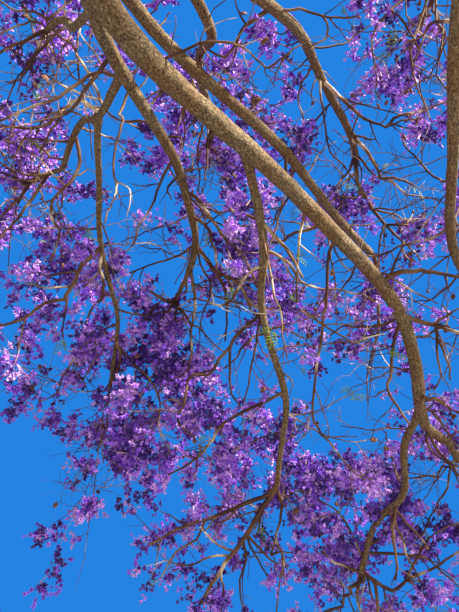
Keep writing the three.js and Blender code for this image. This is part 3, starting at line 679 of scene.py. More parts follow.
class Crown:
    """All limbs and masses, with what twigs and sprays have to keep clear of."""

    def __init__(self):
        self.limbs = {"trunk": Trunk()}
        for row in LIMBS.split(";"):
            limb = Limb(row.split(), self.limbs)
            self.limbs[limb.name] = limb
        self.masses = []
        for limb in self.limbs.values():
            end = limb.curve.tangent(1)
            axes = [turned(end, turn, lift) for turn, lift, _ in limb.masses]
            self.masses += [Mass(limb, i, axes, limb.masses[i][2]) for i in range(len(axes))]
        self.middles = np.array([mass.middle for mass in self.masses])
        self.radii = np.array([mass.radius for mass in self.masses])
        rods = []
        for limb in self.limbs.values():
            rods += self.rods_along(limb.name, limb.curve, limb.radius, LIMB_RODS)
        for mass in self.masses:
            rods += self.rods_along(mass.name, mass.stem, lambda t, _, m=mass: m.thickness, STEM_RODS)
        self.rod_owner, self.rod_from, self.rod_to, self.rod_radius = map(np.array, zip(*rods))

    @staticmethod
    def rods_along(owner, curve, radius, steps):
        return [(owner, curve.point(i / steps), curve.point((i + 1) / steps),
                 max(radius(i / steps, 0), radius((i + 1) / steps, 0))) for i in range(steps)]

    def depth_inside(self, points, mass):
        """How far points are inside a mass's space, less than 0 outside it."""
        away = np.linalg.norm(points - mass.middle, axis=1)
        power = away ** 2 - mass.radius ** 2
        others = np.array([other is not mass for other in self.masses])
        middles, radii = self.middles[others], self.radii[others]
        theirs = ((points[:, None] - middles) ** 2).sum(2) - radii ** 2
        planes = (theirs - power[:, None]) / (2 * np.linalg.norm(middles - mass.middle, axis=1))
        return np.minimum(mass.radius - away, planes.min(1))

    def keeps_clear(self, start, end, radius, mass):
        other = self.rod_owner != mass.name
        apart = segment_distances(start, end, self.rod_from[other], self.rod_to[other])
        return bool((apart > radius + self.rod_radius[other] + LIMB_MARGIN).all())

    def holds(self, point):
        """Whether a point is in the crown, or close under it."""
        return bool((np.linalg.norm(self.middles - point, axis=1) < 1.2 * self.radii).any())

    def fits(self, shoot, shoots, mass):
        for other in shoots:
            apart = np.linalg.norm(other.middle - shoot.middle)
            if apart < SPRAY_SPACING * (other.width + shoot.width) / 2:
                return False
        if self.depth_inside(shoot.corners(), mass).min() < CELL_MARGIN:
            return False
        quarter, three = lerp(shoot.bare, 1, 0.25), lerp(shoot.bare, 1, 0.75)
        spans = [(0, shoot.bare, shoot.radii[0]), (shoot.bare, quarter, 0.25 * shoot.width),
                 (quarter, three, 0.5 * shoot.width), (three, 1, 0.25 * shoot.width)]
        return all(self.keeps_clear(shoot.curve.point(low), shoot.curve.point(high), radius, mass)
                   for low, high, radius in spans)

    def grow(self, mass, seed):
        """Twigs leave the stem in a spiral and a side twig leaves each; each ends in a spray."""
        dice = Dice(seed)
        full = SPRAY_LENGTH * mass.radius / SPRAY_RADIUS
        stem = Shoot(mass.stem, STEM_REACH * mass.radius, full, mass.thickness, [0, 0.3], 4)
        shoots = [stem]

        def sprout(parent, at, axis, share, size, sides):
            root, radius = parent.middle_at(at), parent.thickness(at)
            offset = root - mass.middle
            along = offset @ axis
            room = max(0, along * along - offset @ offset + mass.radius ** 2)
            length = share * (math.sqrt(room) - along)
            while length > SHORTEST:
                curve = Bezier(root, root + axis * 0.5 * length,
                               root + axis * length + UP * LIFT * length)
                shoot = Shoot(curve, length, size * full, TWIG_TAPER * radius, [0], sides)
                if self.fits(shoot, shoots, mass):
                    shoot.parent, shoot.root_share = parent, at
                    shoots.append(shoot)
                    return shoot
                length *= SHORTENED
            return None

        for j in range(TWIGS):
            share = lerp(FIRST_TWIG, LAST_TWIG, j / (TWIGS - 1))
            _, normals, across, tangents = frames_along(stem.curve, [share])
            turn_round = math.radians(math.degrees(GOLDEN_ANGLE) * j + TWIG_WANDER * dice())
            opened = math.radians(TWIG_OPENING[0] - TWIG_OPENING[1] * share + TWIG_OPENING[2] * dice())
            axis = unit(tangents[0] * math.cos(opened)
                        + normals[0] * math.sin(opened) * math.cos(turn_round)
                        + across[0] * math.sin(opened) * math.sin(turn_round) + UP * TWIG_RISE)
            reach, size, along, turn, slope, side_size = (dice() for _ in range(6))
            twig = sprout(stem, share, axis, TWIG_REACH[0] + TWIG_REACH[1] * reach, 0.9 + 0.25 * size, 4)
            if twig is None:
                continue
            beside = unit(np.cross(axis, UP))
            leaning = unit(axis * 0.45 + beside * (0.8 if j % 2 else -0.8) * (0.8 + 0.4 * turn)
                           + UP * (0.7 * slope - 0.35))
            fork = twig.bare * (0.5 + 0.4 * along)
            sprout(twig, fork, leaning, SIDE_TWIG_REACH, 0.8 + 0.25 * side_size, 3)
        return shoots

    def grow_finer(self, mass, shoots, shown, rng):
        """Smaller sprays between those of the rule above, on thin twigs that leave theirs."""
        full = SPRAY_LENGTH * mass.radius / SPRAY_RADIUS
        count = FINER_SPRAYS[0 if in_view(mass.middle, FINE_MARGIN) else 1]
        finer = []
        for _ in range(FINER_TRIES * count):
            parent = shoots[rng.integers(len(shoots))]
            share = rng.uniform(*FINER_ROOTS) * parent.bare
            root, tangent = parent.curve.point(share), parent.curve.tangent(share)
            axis = unit(perpendicular(tangent, rng.uniform(0, FULL_TURN)) + tangent * 0.6 + UP * 0.1)
            length = rng.uniform(*FINER_TWIGS) * full
            curve = Bezier(root, root + axis * 0.5 * length, root + axis * length + UP * LIFT * length)
            shoot = Shoot(curve, length, FINER_LENGTH * full, 0.5 * parent.thickness(share), [0], 3)
            if rng.random() > fullness(shoot.middle, shown):
                continue
            if any(np.linalg.norm(other.middle - shoot.middle)
                   < FINER_SPACING * (other.width + shoot.width) / 2 for other in shoots + finer):
                continue
            ends = np.array([curve.point(shoot.bare), curve.point(1)])
            if (self.depth_inside(ends, mass).min() > FINER_EDGE
                    and self.keeps_clear(curve.point(0.3), ends[1], FINER_ROOM, mass)):
                shoot.parent, shoot.root_share = parent, share
                finer.append(shoot)
                if len(finer) == count:
                    break
        return finer


def segment_distances(a, b, c, d):
    """The least distances between the segment ab and each of the segments cd."""
    u, v, w = b - a, d - c, a - c
    uu, vv = u @ u, (v * v).sum(1)
    uv, uw, vw = v @ u, w @ u, (v * w).sum(1)
    slope = uu * vv - uv * uv
    s = np.where(slope > 1e-15, np.clip((uv * vw - vv * uw) / np.maximum(slope, 1e-15), 0, 1), 0)
    t = np.clip((uv * s + vw) / vv, 0, 1)
    s = np.clip((uv * t - uw) / uu, 0, 1)
    return np.linalg.norm(w + s[:, None] * u - t[:, None] * v, axis=1)


# Meshes made of many small things

class Pile:
    """Triangles of many small things that become one mesh."""

    def __init__(self):
        self.points, self.faces, self.count = [], [], 0

    def add(self, points, faces):
        self.points.append(points)
        self.faces.append(faces + self.count)
        self.count += len(points)

    def piece(self, name, material, slot, nodes, smooth):
        if self.points:
            make_piece(name, np.concatenate(self.points), np.concatenate(self.faces),
                       material, nodes, smooth)


def linked(name, data):
    """A new object in the scene that holds some data."""
    thing = bpy.data.objects.new(name, data)
    bpy.context.scene.collection.objects.link(thing)
    return thing


def make_piece(name, points, faces, material, nodes, smooth):
    mesh = bpy.data.meshes.new(name)
    mesh.vertices.add(len(points))
    mesh.vertices.foreach_set("co", points.astype(np.float32).ravel())
    mesh.loops.add(3 * len(faces))
    mesh.loops.foreach_set("vertex_index", faces.astype(np.int32).ravel())
    mesh.polygons.add(len(faces))
    mesh.polygons.foreach_set("loop_start", np.arange(0, 3 * len(faces), 3, dtype=np.int32))
    mesh.polygons.foreach_set("use_smooth", np.full(len(faces), smooth))
    mesh.materials.append(material)
    mesh.update()
    mesh.validate()
    piece = linked(name, mesh)
    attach(piece, "root")
    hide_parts(*nodes)
    return piece


def tube_faces(rings, sides, closed_tip):
    """Triangles between rings of points, and from the last ring to one more point."""
    ring, side = np.meshgrid(np.arange(rings - 1), np.arange(sides), indexing="ij")
    a = (ring * sides + side).ravel()
    b = (ring * sides + (side + 1) % sides).ravel()
    faces = [np.stack([a, b, b + sides], 1), np.stack([a, b + sides, a + sides], 1)]
    if closed_tip:
        last = (rings - 1) * sides + np.arange(sides)
        around = (rings - 1) * sides + (np.arange(sides) + 1) % sides
        faces.append(np.stack([last, around, np.full(sides, rings * sides)], 1))
    return np.concatenate(faces)


def add_twig(pile, line, radii, sides):
    """A round twig along a crooked line, closed at its tip."""
    steps = np.gradient(line, axis=0)
    tangents = steps / np.linalg.norm(steps, axis=1)[:, None]
    chord = unit(line[-1] - line[0])
    seed = np.cross(chord, UP) if abs(chord[2]) < 0.95 else np.cross(chord, [1.0, 0, 0])
    normals = seed - tangents * (tangents @ seed)[:, None]
    normals /= np.linalg.norm(normals, axis=1)[:, None]
    across = np.cross(tangents, normals)
    angles = FULL_TURN * np.arange(sides) / sides
    points = rings_round(line, normals, across, angles, radii)
    tip = line[-1] + tangents[-1] * radii[-1]
    pile.add(np.vstack([points, tip]), tube_faces(len(line), sides, True))


# Blossom

class Flowers:
    """Flowers and buds of one tint, each a cone with lobes at its mouth, four of each or three."""

    # By the number of lobes: the mouth's radius and how far along the flower it is, and the same for
    # the lobes' tips, all in flower lengths
    OPEN = {4: (0.26, 0.62, 0.43, 0.84), 3: (0.31, 0.54, 0.5, 0.76)}
    BUD = {4: (0.14, 0.5, 0.02, 0.8), 3: (0.2, 0.5, 0.02, 0.8)}

    def __init__(self):
        self.batches = {4: [], 3: []}

    def add(self, sides, *batch):
        """Flowers by their roots, axes, rolls, lengths, and 1 for a bud or 0 for an open one."""
        self.batches[sides].append(batch)

    def pile(self):
        pile = Pile()
        for sides, batches in self.batches.items():
            if batches:
                pile.add(*self.shapes(sides, *(np.concatenate(part) for part in zip(*batches))))
        return pile

    def shapes(self, sides, roots, axes, rolls, sizes, closed):
        mouth, mouth_z, lobe, lobe_z = [o + (b - o) * closed[:, None]
                                        for o, b in zip(self.OPEN[sides], self.BUD[sides])]
        aside = np.cross(axes, np.where(np.abs(axes[:, 2:]) < 0.9, UP, [1.0, 0, 0]))
        aside /= np.linalg.norm(aside, axis=1)[:, None]
        across = np.cross(axes, aside)

        def ring(radius, height, turn):
            angles = rolls[:, None] + FULL_TURN * (np.arange(sides) + turn) / sides
            flat = (aside[:, None] * np.cos(angles)[..., None]
                    + across[:, None] * np.sin(angles)[..., None])
            return radius[..., None] * flat + height[..., None] * axes[:, None]

        apex = np.zeros((len(roots), 1, 3))
        shape = np.concatenate([apex, ring(mouth, mouth_z, 0), ring(lobe, lobe_z, 0.5)], 1)
        points = roots[:, None] + sizes[:, None, None] * shape
        k = np.arange(sides)
        after = 1 + (k + 1) % sides
        tube = np.stack([np.zeros(sides, int), 1 + k, after], 1)
        lobes = np.stack([1 + k, 1 + sides + k, after], 1)
        steps = (1 + 2 * sides) * np.arange(len(roots))
        faces = np.concatenate([tube, lobes])[None] + steps[:, None, None]
        return points.reshape(-1, 3), faces.reshape(-1, 3)


class Sector:
    """What one leader carries: its wood, leaves and pods, and its flowers by tint."""

    def __init__(self, shown):
        self.nodes, self.shown = [], shown
        self.wood, self.leaves, self.pods = Pile(), Pile(), Pile()
        self.flowers = {tint: Flowers() for tint in TINTS}


def perpendicular(axis, angle):
    aside = unit(np.cross(axis, UP if abs(axis[2]) < 0.9 else np.array([1.0, 0, 0])))
    return aside * math.cos(angle) + np.cross(axis, aside) * math.sin(angle)


def add_panicle(sector, rng, root, axis, length, tint, size):
    """An axis with short branchlets all round it, each with a few bells that face outwards, and larger
    flowers deep inside in darker tints that are painted shade.
    """
    if rng.random() >= fullness(root + axis * (0.6 * length + 0.02), sector.shown):
        return
    names = list(TINTS)
    bow = perpendicular(axis, rng.uniform(0, FULL_TURN)) * PANICLE_BOW * length

    def along_axis(shares):
        return root + np.outer(shares, axis) * length + np.outer(4 * shares * (1 - shares), bow)

    add_twig(sector.wood, along_axis(np.array([0, 0.5, 1])), PANICLE_RADII, 3)
    shares = np.linspace(FIRST_BRANCHLET, 1, BRANCHLETS)
    feet = along_axis(shares)
    turns = rng.uniform(0, FULL_TURN) + np.arange(BRANCHLETS) * GOLDEN_ANGLE
    aside = perpendicular(axis, 0)
    spokes = np.outer(np.cos(turns), aside) + np.outer(np.sin(turns), np.cross(axis, aside))
    outward, less, forward = BRANCHLET_SLANT
    outs = spokes * (outward - less * shares)[:, None] + axis * forward
    outs /= np.linalg.norm(outs, axis=1)[:, None]
    reaches = outs * (BRANCHLET_LENGTH * size * rng.uniform(0.75, 1.2, (BRANCHLETS, 1)))
    thick = np.cross(outs, axis) * BRANCHLET_RADIUS
    spikes = np.stack([feet + thick, feet - thick, feet + np.cross(outs, thick), feet + reaches], 1)
    sides = np.array([[0, 1, 3], [1, 2, 3], [2, 0, 3]]) + 4 * np.arange(BRANCHLETS)[:, None, None]
    sector.wood.add(spikes.reshape(-1, 3), sides.reshape(-1, 3))
    bells = FLOWERS[0 if size < LARGE else 1]
    along = np.linspace(FIRST_FLOWER, 1, bells)[:, None]
    for foot, out, reach in zip(feet, outs, reaches):
        axes = out * 0.75 + rng.normal(0, FLOWER_SCATTER, (bells, 3)) - UP * FLOWER_DROOP
        axes /= np.linalg.norm(axes, axis=1)[:, None]
        closed = (rng.random(bells) < BUD_SHARE).astype(float)
        sizes = FLOWER_LENGTH * size * rng.uniform(0.8, 1.15, bells) * (1 - BUD_SHORTER * closed)
        name = names[int(np.clip(tint + round(rng.normal(0, TINT_SCATTER)), 0, len(names) - 1))]
        sector.flowers[name].add(4, foot + reach * along, axes,
                                 rng.uniform(0, NEARLY_FULL_TURN, bells), sizes, closed)
    # The core flowers are painted shade: their tint is one or two steps darker than the panicle's.
    axes = rng.normal(0, 1, (SHADE_CORE_FLOWERS, 3)) + axis * 0.6
    axes /= np.linalg.norm(axes, axis=1)[:, None]
    name = names[min(tint + int(rng.integers(1, 3)), len(names) - 1)]
    sector.flowers[name].add(3, along_axis(rng.uniform(0.15, 0.8, SHADE_CORE_FLOWERS)), axes,
                             rng.uniform(0, NEARLY_FULL_TURN, SHADE_CORE_FLOWERS),
                             CORE_LENGTH * size * rng.uniform(0.75, 1.1, SHADE_CORE_FLOWERS),
                             np.zeros(SHADE_CORE_FLOWERS))


def pick_tint(rng):
    weights = np.array([share for _, share in TINTS.values()])
    return int(rng.choice(len(weights), p=weights / weights.sum()))


def wood_line(shoot, rng, steps):
    """A shoot's crooked wood, from its root on its parent's wood to its tip."""
    shares = np.linspace(0, 1, steps)
    line = np.array([shoot.curve.point(t) for t in shares])
    kinks = rng.normal(0, KINK * shoot.length, line.shape)
    kinks[0] = 0
    line += kinks
    if shoot.parent is not None:
        shift = wood_at(shoot.parent, shoot.root_share) - line[0]
        line += shift * (1 - shares[:, None]) ** 2
    return shares, line


def wood_at(shoot, share):
    return np.array([np.interp(share, shoot.wood_shares, shoot.wood[:, k]) for k in range(3)])


def wood_radius(shoot, share):
    if share < shoot.bare:
        return shoot.thickness(share)
    return WOOD_WIDTH * shoot.radius * lerp(1, WOOD_END, (share - shoot.bare) / (1 - shoot.bare))


def dress_shoot(sector, shoot, mass, rng):
    """The wood of a shoot, its side twiglets, and the panicles that fill its spray."""
    shoot.wood_shares, shoot.wood = wood_line(shoot, rng, 10)
    radii = np.array([wood_radius(shoot, share) for share in shoot.wood_shares])
    line = shoot.wood
    if shoot.parent is None:
        radii[0] = mass.limb.end * (PAIRED_FOOT if len(mass.limb.masses) > 1 else STEM_FOOT)
        line = np.vstack([line[0] - mass.tangent * STEM_SUNK, line])
        radii = np.concatenate([[radii[0] * 0.8], radii])
    add_twig(sector.wood, line, radii, 7 if shoot.parent is None else 6)
    for _ in range(TWIGLETS[0 if in_view(shoot.middle, TWIGLET_MARGIN) else 1]):
        share = rng.uniform(0.25, 0.95) * shoot.bare
        tangent = shoot.curve.tangent(share)
        axis = unit(perpendicular(tangent, rng.uniform(0, NEARLY_FULL_TURN)) + UP * 0.25 + tangent * 0.6)
        length = rng.uniform(*TWIGLET_LENGTHS) * mass.radius / SPRAY_RADIUS
        root = wood_at(shoot, share)
        if np.linalg.norm(root + axis * (length + 0.12) - mass.middle) < mass.radius:
            add_branch(sector, rng, *crooked(rng, root, axis, length, 0.45 * wood_radius(shoot, share)),
                       TWIGLET_BLOOM, 1)
    fill_spray(sector, shoot, mass, rng)


def dress_finer(sector, shoot, mass, rng):
    shoot.wood_shares, shoot.wood = wood_line(shoot, rng, 6)
    radii = [max(0.003, wood_radius(shoot, share)) for share in shoot.wood_shares]
    add_twig(sector.wood, shoot.wood, radii, 5)
    fill_spray(sector, shoot, mass, rng)


def fill_spray(sector, shoot, mass, rng):
    """Panicles that lean outwards all along a shoot's spray, and one at its tip."""
    spray = shoot.length * (1 - shoot.bare)
    seen = in_view(shoot.middle, FINE_MARGIN)
    size = (mass.radius / SPRAY_RADIUS) ** 0.45 * (1 if seen else UNSEEN_SIZE)
    count = max(3, round(PANICLES[0 if seen else 1] * (spray / SPRAY_LENGTH) ** 0.9))
    tint = pick_tint(rng)
    start = rng.uniform(0, FULL_TURN)
    for i in range(count):
        u = min(0.97, (i + rng.uniform(0.2, 0.8)) / count)
        share = lerp(shoot.bare, 1, u)
        tangent = shoot.curve.tangent(share)
        room = 0.5 * shoot.width * math.sqrt(max(0.12, 1 - (2 * u - 1) ** 2))
        out = unit(perpendicular(tangent, start + i * GOLDEN_ANGLE) + tangent * lerp(0.15, 0.9, u))
        length = max(0.06, (room - 0.3 * PANICLE_REACH) * rng.uniform(0.8, 1.2))
        near = int(np.clip(tint + rng.integers(-1, 2), 0, len(TINTS) - 1))
        add_panicle(sector, rng, wood_at(shoot, share), out, length, near, size)
    add_panicle(sector, rng, wood_at(shoot, 0.9), shoot.curve.tangent(1),
                0.1 * shoot.length + 0.02, tint, size)


# Branches, leaves and pods

SIDES = ((7, 0.018), (6, 0.011), (4, 0.0055), (3, 0))  # by a branch's radius at its foot


def crooked(rng, root, axis, length, radius):
    """A line that bends at its nodes, this way and that, and its radii."""
    steps = max(3, round(length / NODE_SPACING))
    heading, line = axis, [root]
    for i in range(steps):
        swing = perpendicular(heading, rng.uniform(0, NEARLY_FULL_TURN)) * rng.uniform(*SWING)
        heading = unit(heading + swing + axis * 0.25 + UP * 0.06)
        line.append(line[-1] + heading * length / steps)
    radius = max(LEAST_RADIUS, radius)
    return np.array(line), np.linspace(radius, 0.5 * radius, steps + 1)


def add_branch(sector, rng, line, radii, bloom, forks, ending=None):
    """A thin branch along a line, with forks of its own, each of which forks less."""
    add_twig(sector.wood, line, radii, next(sides for sides, least in SIDES if radii[0] > least))
    steps = np.linalg.norm(np.diff(line, axis=0), axis=1)
    reach = steps.sum()
    for _ in range(forks):
        i = int(rng.integers(1, len(line) - 1)) if len(line) > 2 else 1
        way = unit(line[i] - line[i - 1])
        axis = unit(way * 0.6 + perpendicular(way, rng.uniform(0, NEARLY_FULL_TURN)) * 0.8)
        length = min(LONGEST_FORK, reach * rng.uniform(0.3, 0.55))
        add_branch(sector, rng, *crooked(rng, line[i], axis, length, 0.6 * radii[i]), bloom,
                   min(1, forks // 2))
    add_ending(sector, rng, line[-1], unit(line[-1] - line[-2]), bloom, ending)


def add_ending(sector, rng, tip, way, bloom, ending):
    chance = rng.random()
    if ending is None:
        ending = ("bloom" if chance < bloom else "leaf" if chance < bloom + LEAF_TUFTS
                  else "pod" if chance < bloom + LEAF_TUFTS + POD_SHARE else "bare")
    if ending == "bloom":
        tint = pick_tint(rng)
        thick = fullness(tip, sector.shown) == 1
        for i in range(int(rng.integers(2, 5) if thick else rng.integers(1, 3))):
            out = way if i == 0 else unit(way * 0.5 + rng.normal(0, 0.6, 3))
            add_panicle(sector, rng, tip - way * 0.01, out, rng.uniform(0.08, 0.15), tint, 1)
    elif ending == "leaf":
        for _ in range(3):
            add_leaf(sector, rng, tip, unit(way + rng.normal(0, 0.6, 3)), rng.uniform(0.07, 0.13))
    elif ending == "pod":
        add_pod(sector, rng, tip)


def add_leaf(sector, rng, root, axis, length):
    """A young feathery leaf: a thin rib with pairs of narrow blades."""
    shares = np.linspace(0, 1, 4)
    line = root + np.outer(shares, axis) * length
    line[:, 2] -= LEAF_DROOP * length * shares ** 2
    add_twig(sector.wood, line, [0.0016, 0.0014, 0.0011, 0.0008], 3)
    flat = perpendicular(axis, rng.uniform(0, NEARLY_FULL_TURN))
    faces = np.array([[0, 1, 2], [0, 2, 3], [1, 4, 2], [2, 4, 3]])
    for i in range(LEAF_PAIRS):
        share = lerp(0.2, 1, i / (LEAF_PAIRS - 1))
        foot = np.array([np.interp(share, shares, line[:, k]) for k in range(3)])
        for side in (-1, 1):
            way = unit(flat * side + axis * 0.7)
            reach = 0.36 * length * (1 - 0.55 * abs(share - 0.5))
            broad = np.cross(way, np.cross(axis, flat)) * 0.17 * reach
            middle = foot + way * 0.5 * reach
            lifted = middle + np.cross(axis, flat) * 0.04 * reach
            blade = np.stack([foot, middle + broad, lifted, middle - broad, foot + way * reach])
            sector.leaves.add(blade, faces)


def add_pod(sector, rng, tip):
    """A flat round woody pod with a thick rim, on a short stalk."""
    hang = tip - UP * (POD_RADIUS + 0.012)
    add_twig(sector.wood, np.array([tip, tip - UP * 0.008, hang + UP * 0.9 * POD_RADIUS]),
             [0.002, 0.002, 0.002], 3)
    turn, sides = rng.uniform(0, math.pi), POD_SIDES
    broad = np.array([math.cos(turn), math.sin(turn), 0])
    thick = np.cross(UP, broad) * POD_THICKNESS
    angles = FULL_TURN * np.arange(sides) / sides
    wavy = POD_RADIUS * (1 + 0.07 * np.cos(3 * angles + turn))
    rim = hang + np.outer(wavy * np.cos(angles), broad) + np.outer(wavy * np.sin(angles), UP)
    inner = hang + (rim - hang) * 0.6
    points = np.vstack([hang + thick * 0.7, inner + thick, rim, inner - thick, hang - thick * 0.7])
    k, after = np.arange(sides), (np.arange(sides) + 1) % sides
    fan = np.stack([np.zeros(sides, int), 1 + k, 1 + after], 1)
    rows = tube_faces(3, sides, False) + 1
    back = np.stack([1 + 2 * sides + k, np.full(sides, 1 + 3 * sides), 1 + 2 * sides + after], 1)
    sector.pods.add(points, np.concatenate([fan, rows, back]))


def dress_bough(sector, limb, crown, rng):
    """Crooked side branches along a bough, on all sides of it."""
    seen = in_view(limb.curve.point(0.5), FINE_MARGIN)
    count = max(2, round(limb.length / (BOUGH_SPACING if seen else 2 * BOUGH_SPACING)))
    turn = rng.uniform(0, FULL_TURN)
    for i in range(count):
        share = lerp(0.15, 0.97, (i + rng.uniform(0.1, 0.9)) / count)
        tangent = limb.curve.tangent(share)
        out = perpendicular(tangent, turn + i * GOLDEN_ANGLE)
        axis = unit(out + tangent * 0.6 + UP * 0.3)
        root = limb.curve.point(share)
        for length in (rng.uniform(0.7, 1.3), rng.uniform(0.35, 0.6)):
            tip = root + axis * (length + 0.2)
            if crown.keeps_clear(root + axis * 0.15, tip, 0.03, limb) and crown.holds(tip):
                radius = 0.008 * length + 0.1 * limb.radius(share, 0)
                add_branch(sector, rng, *crooked(rng, root, axis, length, radius), WIDE_BLOOM,
                           2 if length < 0.65 else 4)
                break


def path_lengths(points):
    """How far along a path each of its points is."""
    return np.concatenate([[0], np.cumsum(np.linalg.norm(np.diff(points, axis=0), axis=1))])


def smooth_line(points, steps):
    """A smooth curve through points, with some more points between them."""
    ends = np.vstack([2 * points[0] - points[1], points, 2 * points[-1] - points[-2]])
    line = []
    for a, b, c, d in zip(ends, ends[1:], ends[2:], ends[3:]):
        for t in np.arange(steps) / steps:
            bend = 2 * a - 5 * b + 4 * c - d + t * (3 * b - a - 3 * c + d)
            line.append(b + 0.5 * t * (c - a + t * bend))
    return np.array([*line, points[-1]])


def table_branches():
    """The table's branches: each one's limb, and its width, its path, its ending and its forks."""
    branches, limb, above = [], None, []
    for line in BRANCHES.strip().split("\n"):
        words = line.split()
        if len(words) == 1:
            limb = words[0]
            continue
        level = len(words.pop(0)) if words[0].strip("-") == "" else 0
        ending = words.pop() if words[-1].isalpha() else None
        branch = (float(words[0]), [numbers(word) for word in words[1:]], ending, [])
        if level:
            above[level - 1][-1].append(branch)
        else:
            branches.append((limb, branch))
        above[level:] = [branch]
    return branches


def lay_branch(carrier, rng, width, path, ending, forks):
    """Lines, radii and endings of a branch of the table and its forks, rooted on their carrier."""
    seen = photo_pixel(carrier)
    root = int(np.argmin(np.hypot(seen[:, 0] - path[0][0], seen[:, 1] - path[0][1])))
    ahead = seen[root, 2]
    pixels = np.array([seen[root, :2], *path[1:]])
    travelled = path_lengths(pixels)
    shares = travelled / travelled[-1]
    length = travelled[-1] * ahead / FOCAL
    farther, phase = rng.uniform(-0.3, 0.1) * length, rng.uniform(0, NEARLY_FULL_TURN)
    depths = ahead + farther * shares + 0.07 * length * shares * np.sin(5 * shares + phase)
    line = smooth_line(np.array([photo_point(*pixel, depth) for pixel, depth in zip(pixels, depths)]), 3)
    line[0] = carrier[root]
    line[1:] += rng.normal(0, 0.0035, line[1:].shape)
    radii = 0.5 * width * ahead / FOCAL * (1 - 0.5 * np.linspace(0, 1, len(line)))
    laid = [(line, radii, ending)]
    for fork in forks:
        laid += lay_branch(line, rng, *fork)
    return laid


def lay_branches(crown, rng):
    """The table's branches by limb, and the wood that the view shows: pixels, radius and distance."""
    laid, lines = {}, []
    for name, branch in table_branches():
        limb = crown.limbs[name]
        centre = np.array([limb.curve.point(share) for share in np.linspace(0.02, 0.995, 120)])
        laid.setdefault(name, []).extend(lay_branch(centre, rng, *branch))
    for limb in crown.limbs.values():
        shares = np.linspace(0, 1, 80)
        lines.append((np.array([limb.curve.point(share) for share in shares]),
                      np.array([limb.radius(share, 0) for share in shares])))
    lines += [(line, radii) for branches in laid.values() for line, radii, _ in branches]
    shown = []
    for line, radii in lines:
        seen = photo_pixel(line)
        rows = np.stack([seen[:, 0], seen[:, 1], radii * FOCAL / seen[:, 2], seen[:, 2]], 1)
        shown.append(rows[seen[:, 2] > 0.8])
    return laid, np.concatenate(shown)


# Bark

def knots_on(limb, rng):
    count = round(KNOTS_PER_METRE * limb.length)
    return [(rng.uniform(0.12, 0.95), rng.uniform(0, FULL_TURN), rng.uniform(0.6, 1.2))
            for _ in range(count)]


def relief(limb, point, share, angle, radius, along, knots, joints):
    """How far the bark stands out from a limb's plain round form."""
    fade = min(1, 12 * share, 12 * (1 - share))
    lumps = noise.noise(Vector(point) * LUMPS_PER_METRE) * LUMP_HEIGHT * radius
    grain = Vector((math.cos(angle) * radius * FISSURES_ROUND, math.sin(angle) * radius * FISSURES_ROUND,
                    along * FISSURES_ALONG))
    depth = FISSURE * (0.6 + 5 * radius)
    grooves = (abs(noise.noise(grain)) - 0.25) * depth * 3
    wrinkles = noise.noise(Vector((angle * 0.4, 0, along * WRINKLES_ALONG))) * 0.22 * depth
    out = lumps + (grooves + wrinkles) * fade
    for place, turn, size in knots:
        round_way = math.remainder(angle - turn, FULL_TURN) * radius
        distance = math.hypot(round_way, (share - place) * limb.length) / (size * KNOT_WIDTH * radius)
        if distance < 3:
            rim = math.exp(-distance ** 2) - 1.3 * math.exp(-9 * distance ** 2)
            out += size * KNOT_HEIGHT * radius * rim
    for spot, size in joints:
        distance = (Vector(point) - spot).length / (FORK_WIDTH * size)
        if distance < 3:
            out += FORK_HEIGHT * size * math.exp(-distance ** 2)
    return out


def bark_piece(limb, crown, material, rng):
    """A limb's bark: a fine tube with fissures, knots, and a swelling where each branch leaves."""
    is_trunk = limb.name == "trunk"
    seen = any(in_view(limb.curve.point(share), 0) for share in np.linspace(0, 1, 9))
    coarse = 1 if seen or is_trunk else COARSER
    rings = max(FEWEST, int(limb.length / (TRUNK_RING_SPACING if is_trunk else coarse * RING_SPACING)))
    widest = max(limb.radius(0, 0), limb.foot)
    sides = int(min(MOST, max(FEWEST, FULL_TURN * widest / (coarse * SIDE_WIDTH))))
    crowding = 1 if limb.continues or is_trunk else CROWDING
    shares = (np.arange(rings + 1) / rings) ** crowding
    points, normals, across, tangents = frames_along(limb.curve, shares)
    if not is_trunk:
        points[0] -= tangents[0] * SUNK
    joints = []
    for child in crown.limbs.values():
        if child.parent is limb and not child.continues:
            way = child.curve.tangent(0.02)
            spot = child.curve.point(0) + way * limb.radius(child.at, 0)
            joints.append((Vector(spot), child.foot))
    knots = knots_on(limb, rng)
    angles = math.pi / 2 - FULL_TURN * np.arange(sides) / sides
    travelled = path_lengths(points)
    corners, grains = [], []
    for i, share in enumerate(shares):
        for angle in angles:
            radius = limb.radius(share, angle)
            way = normals[i] * math.cos(angle) + across[i] * math.sin(angle)
            out = relief(limb, points[i] + way * radius, share, angle, radius, travelled[i], knots, joints)
            corners.append(points[i] + way * (radius + out))
            grains.append((math.cos(angle) * radius, math.sin(angle) * radius, travelled[i]))
    corners.append(points[-1] + tangents[-1] * (0.004 if limb.masses else 0))
    corners.append(points[0])
    grains += [(0, 0, travelled[-1]), (0, 0, 0)]
    faces = [tube_faces(len(shares), sides, True)[:, ::-1]]
    k = np.arange(sides)
    faces.append(np.stack([k, (k + 1) % sides, np.full(sides, len(corners) - 1)], 1))
    piece = make_piece("bark_" + limb.name, np.array(corners), np.concatenate(faces),
                       material, [limb.name], True)
    grain = piece.data.attributes.new("grain", "FLOAT_VECTOR", "POINT")
    grain.data.foreach_set("vector", np.array(grains, np.float32).ravel())
    return piece


# Materials

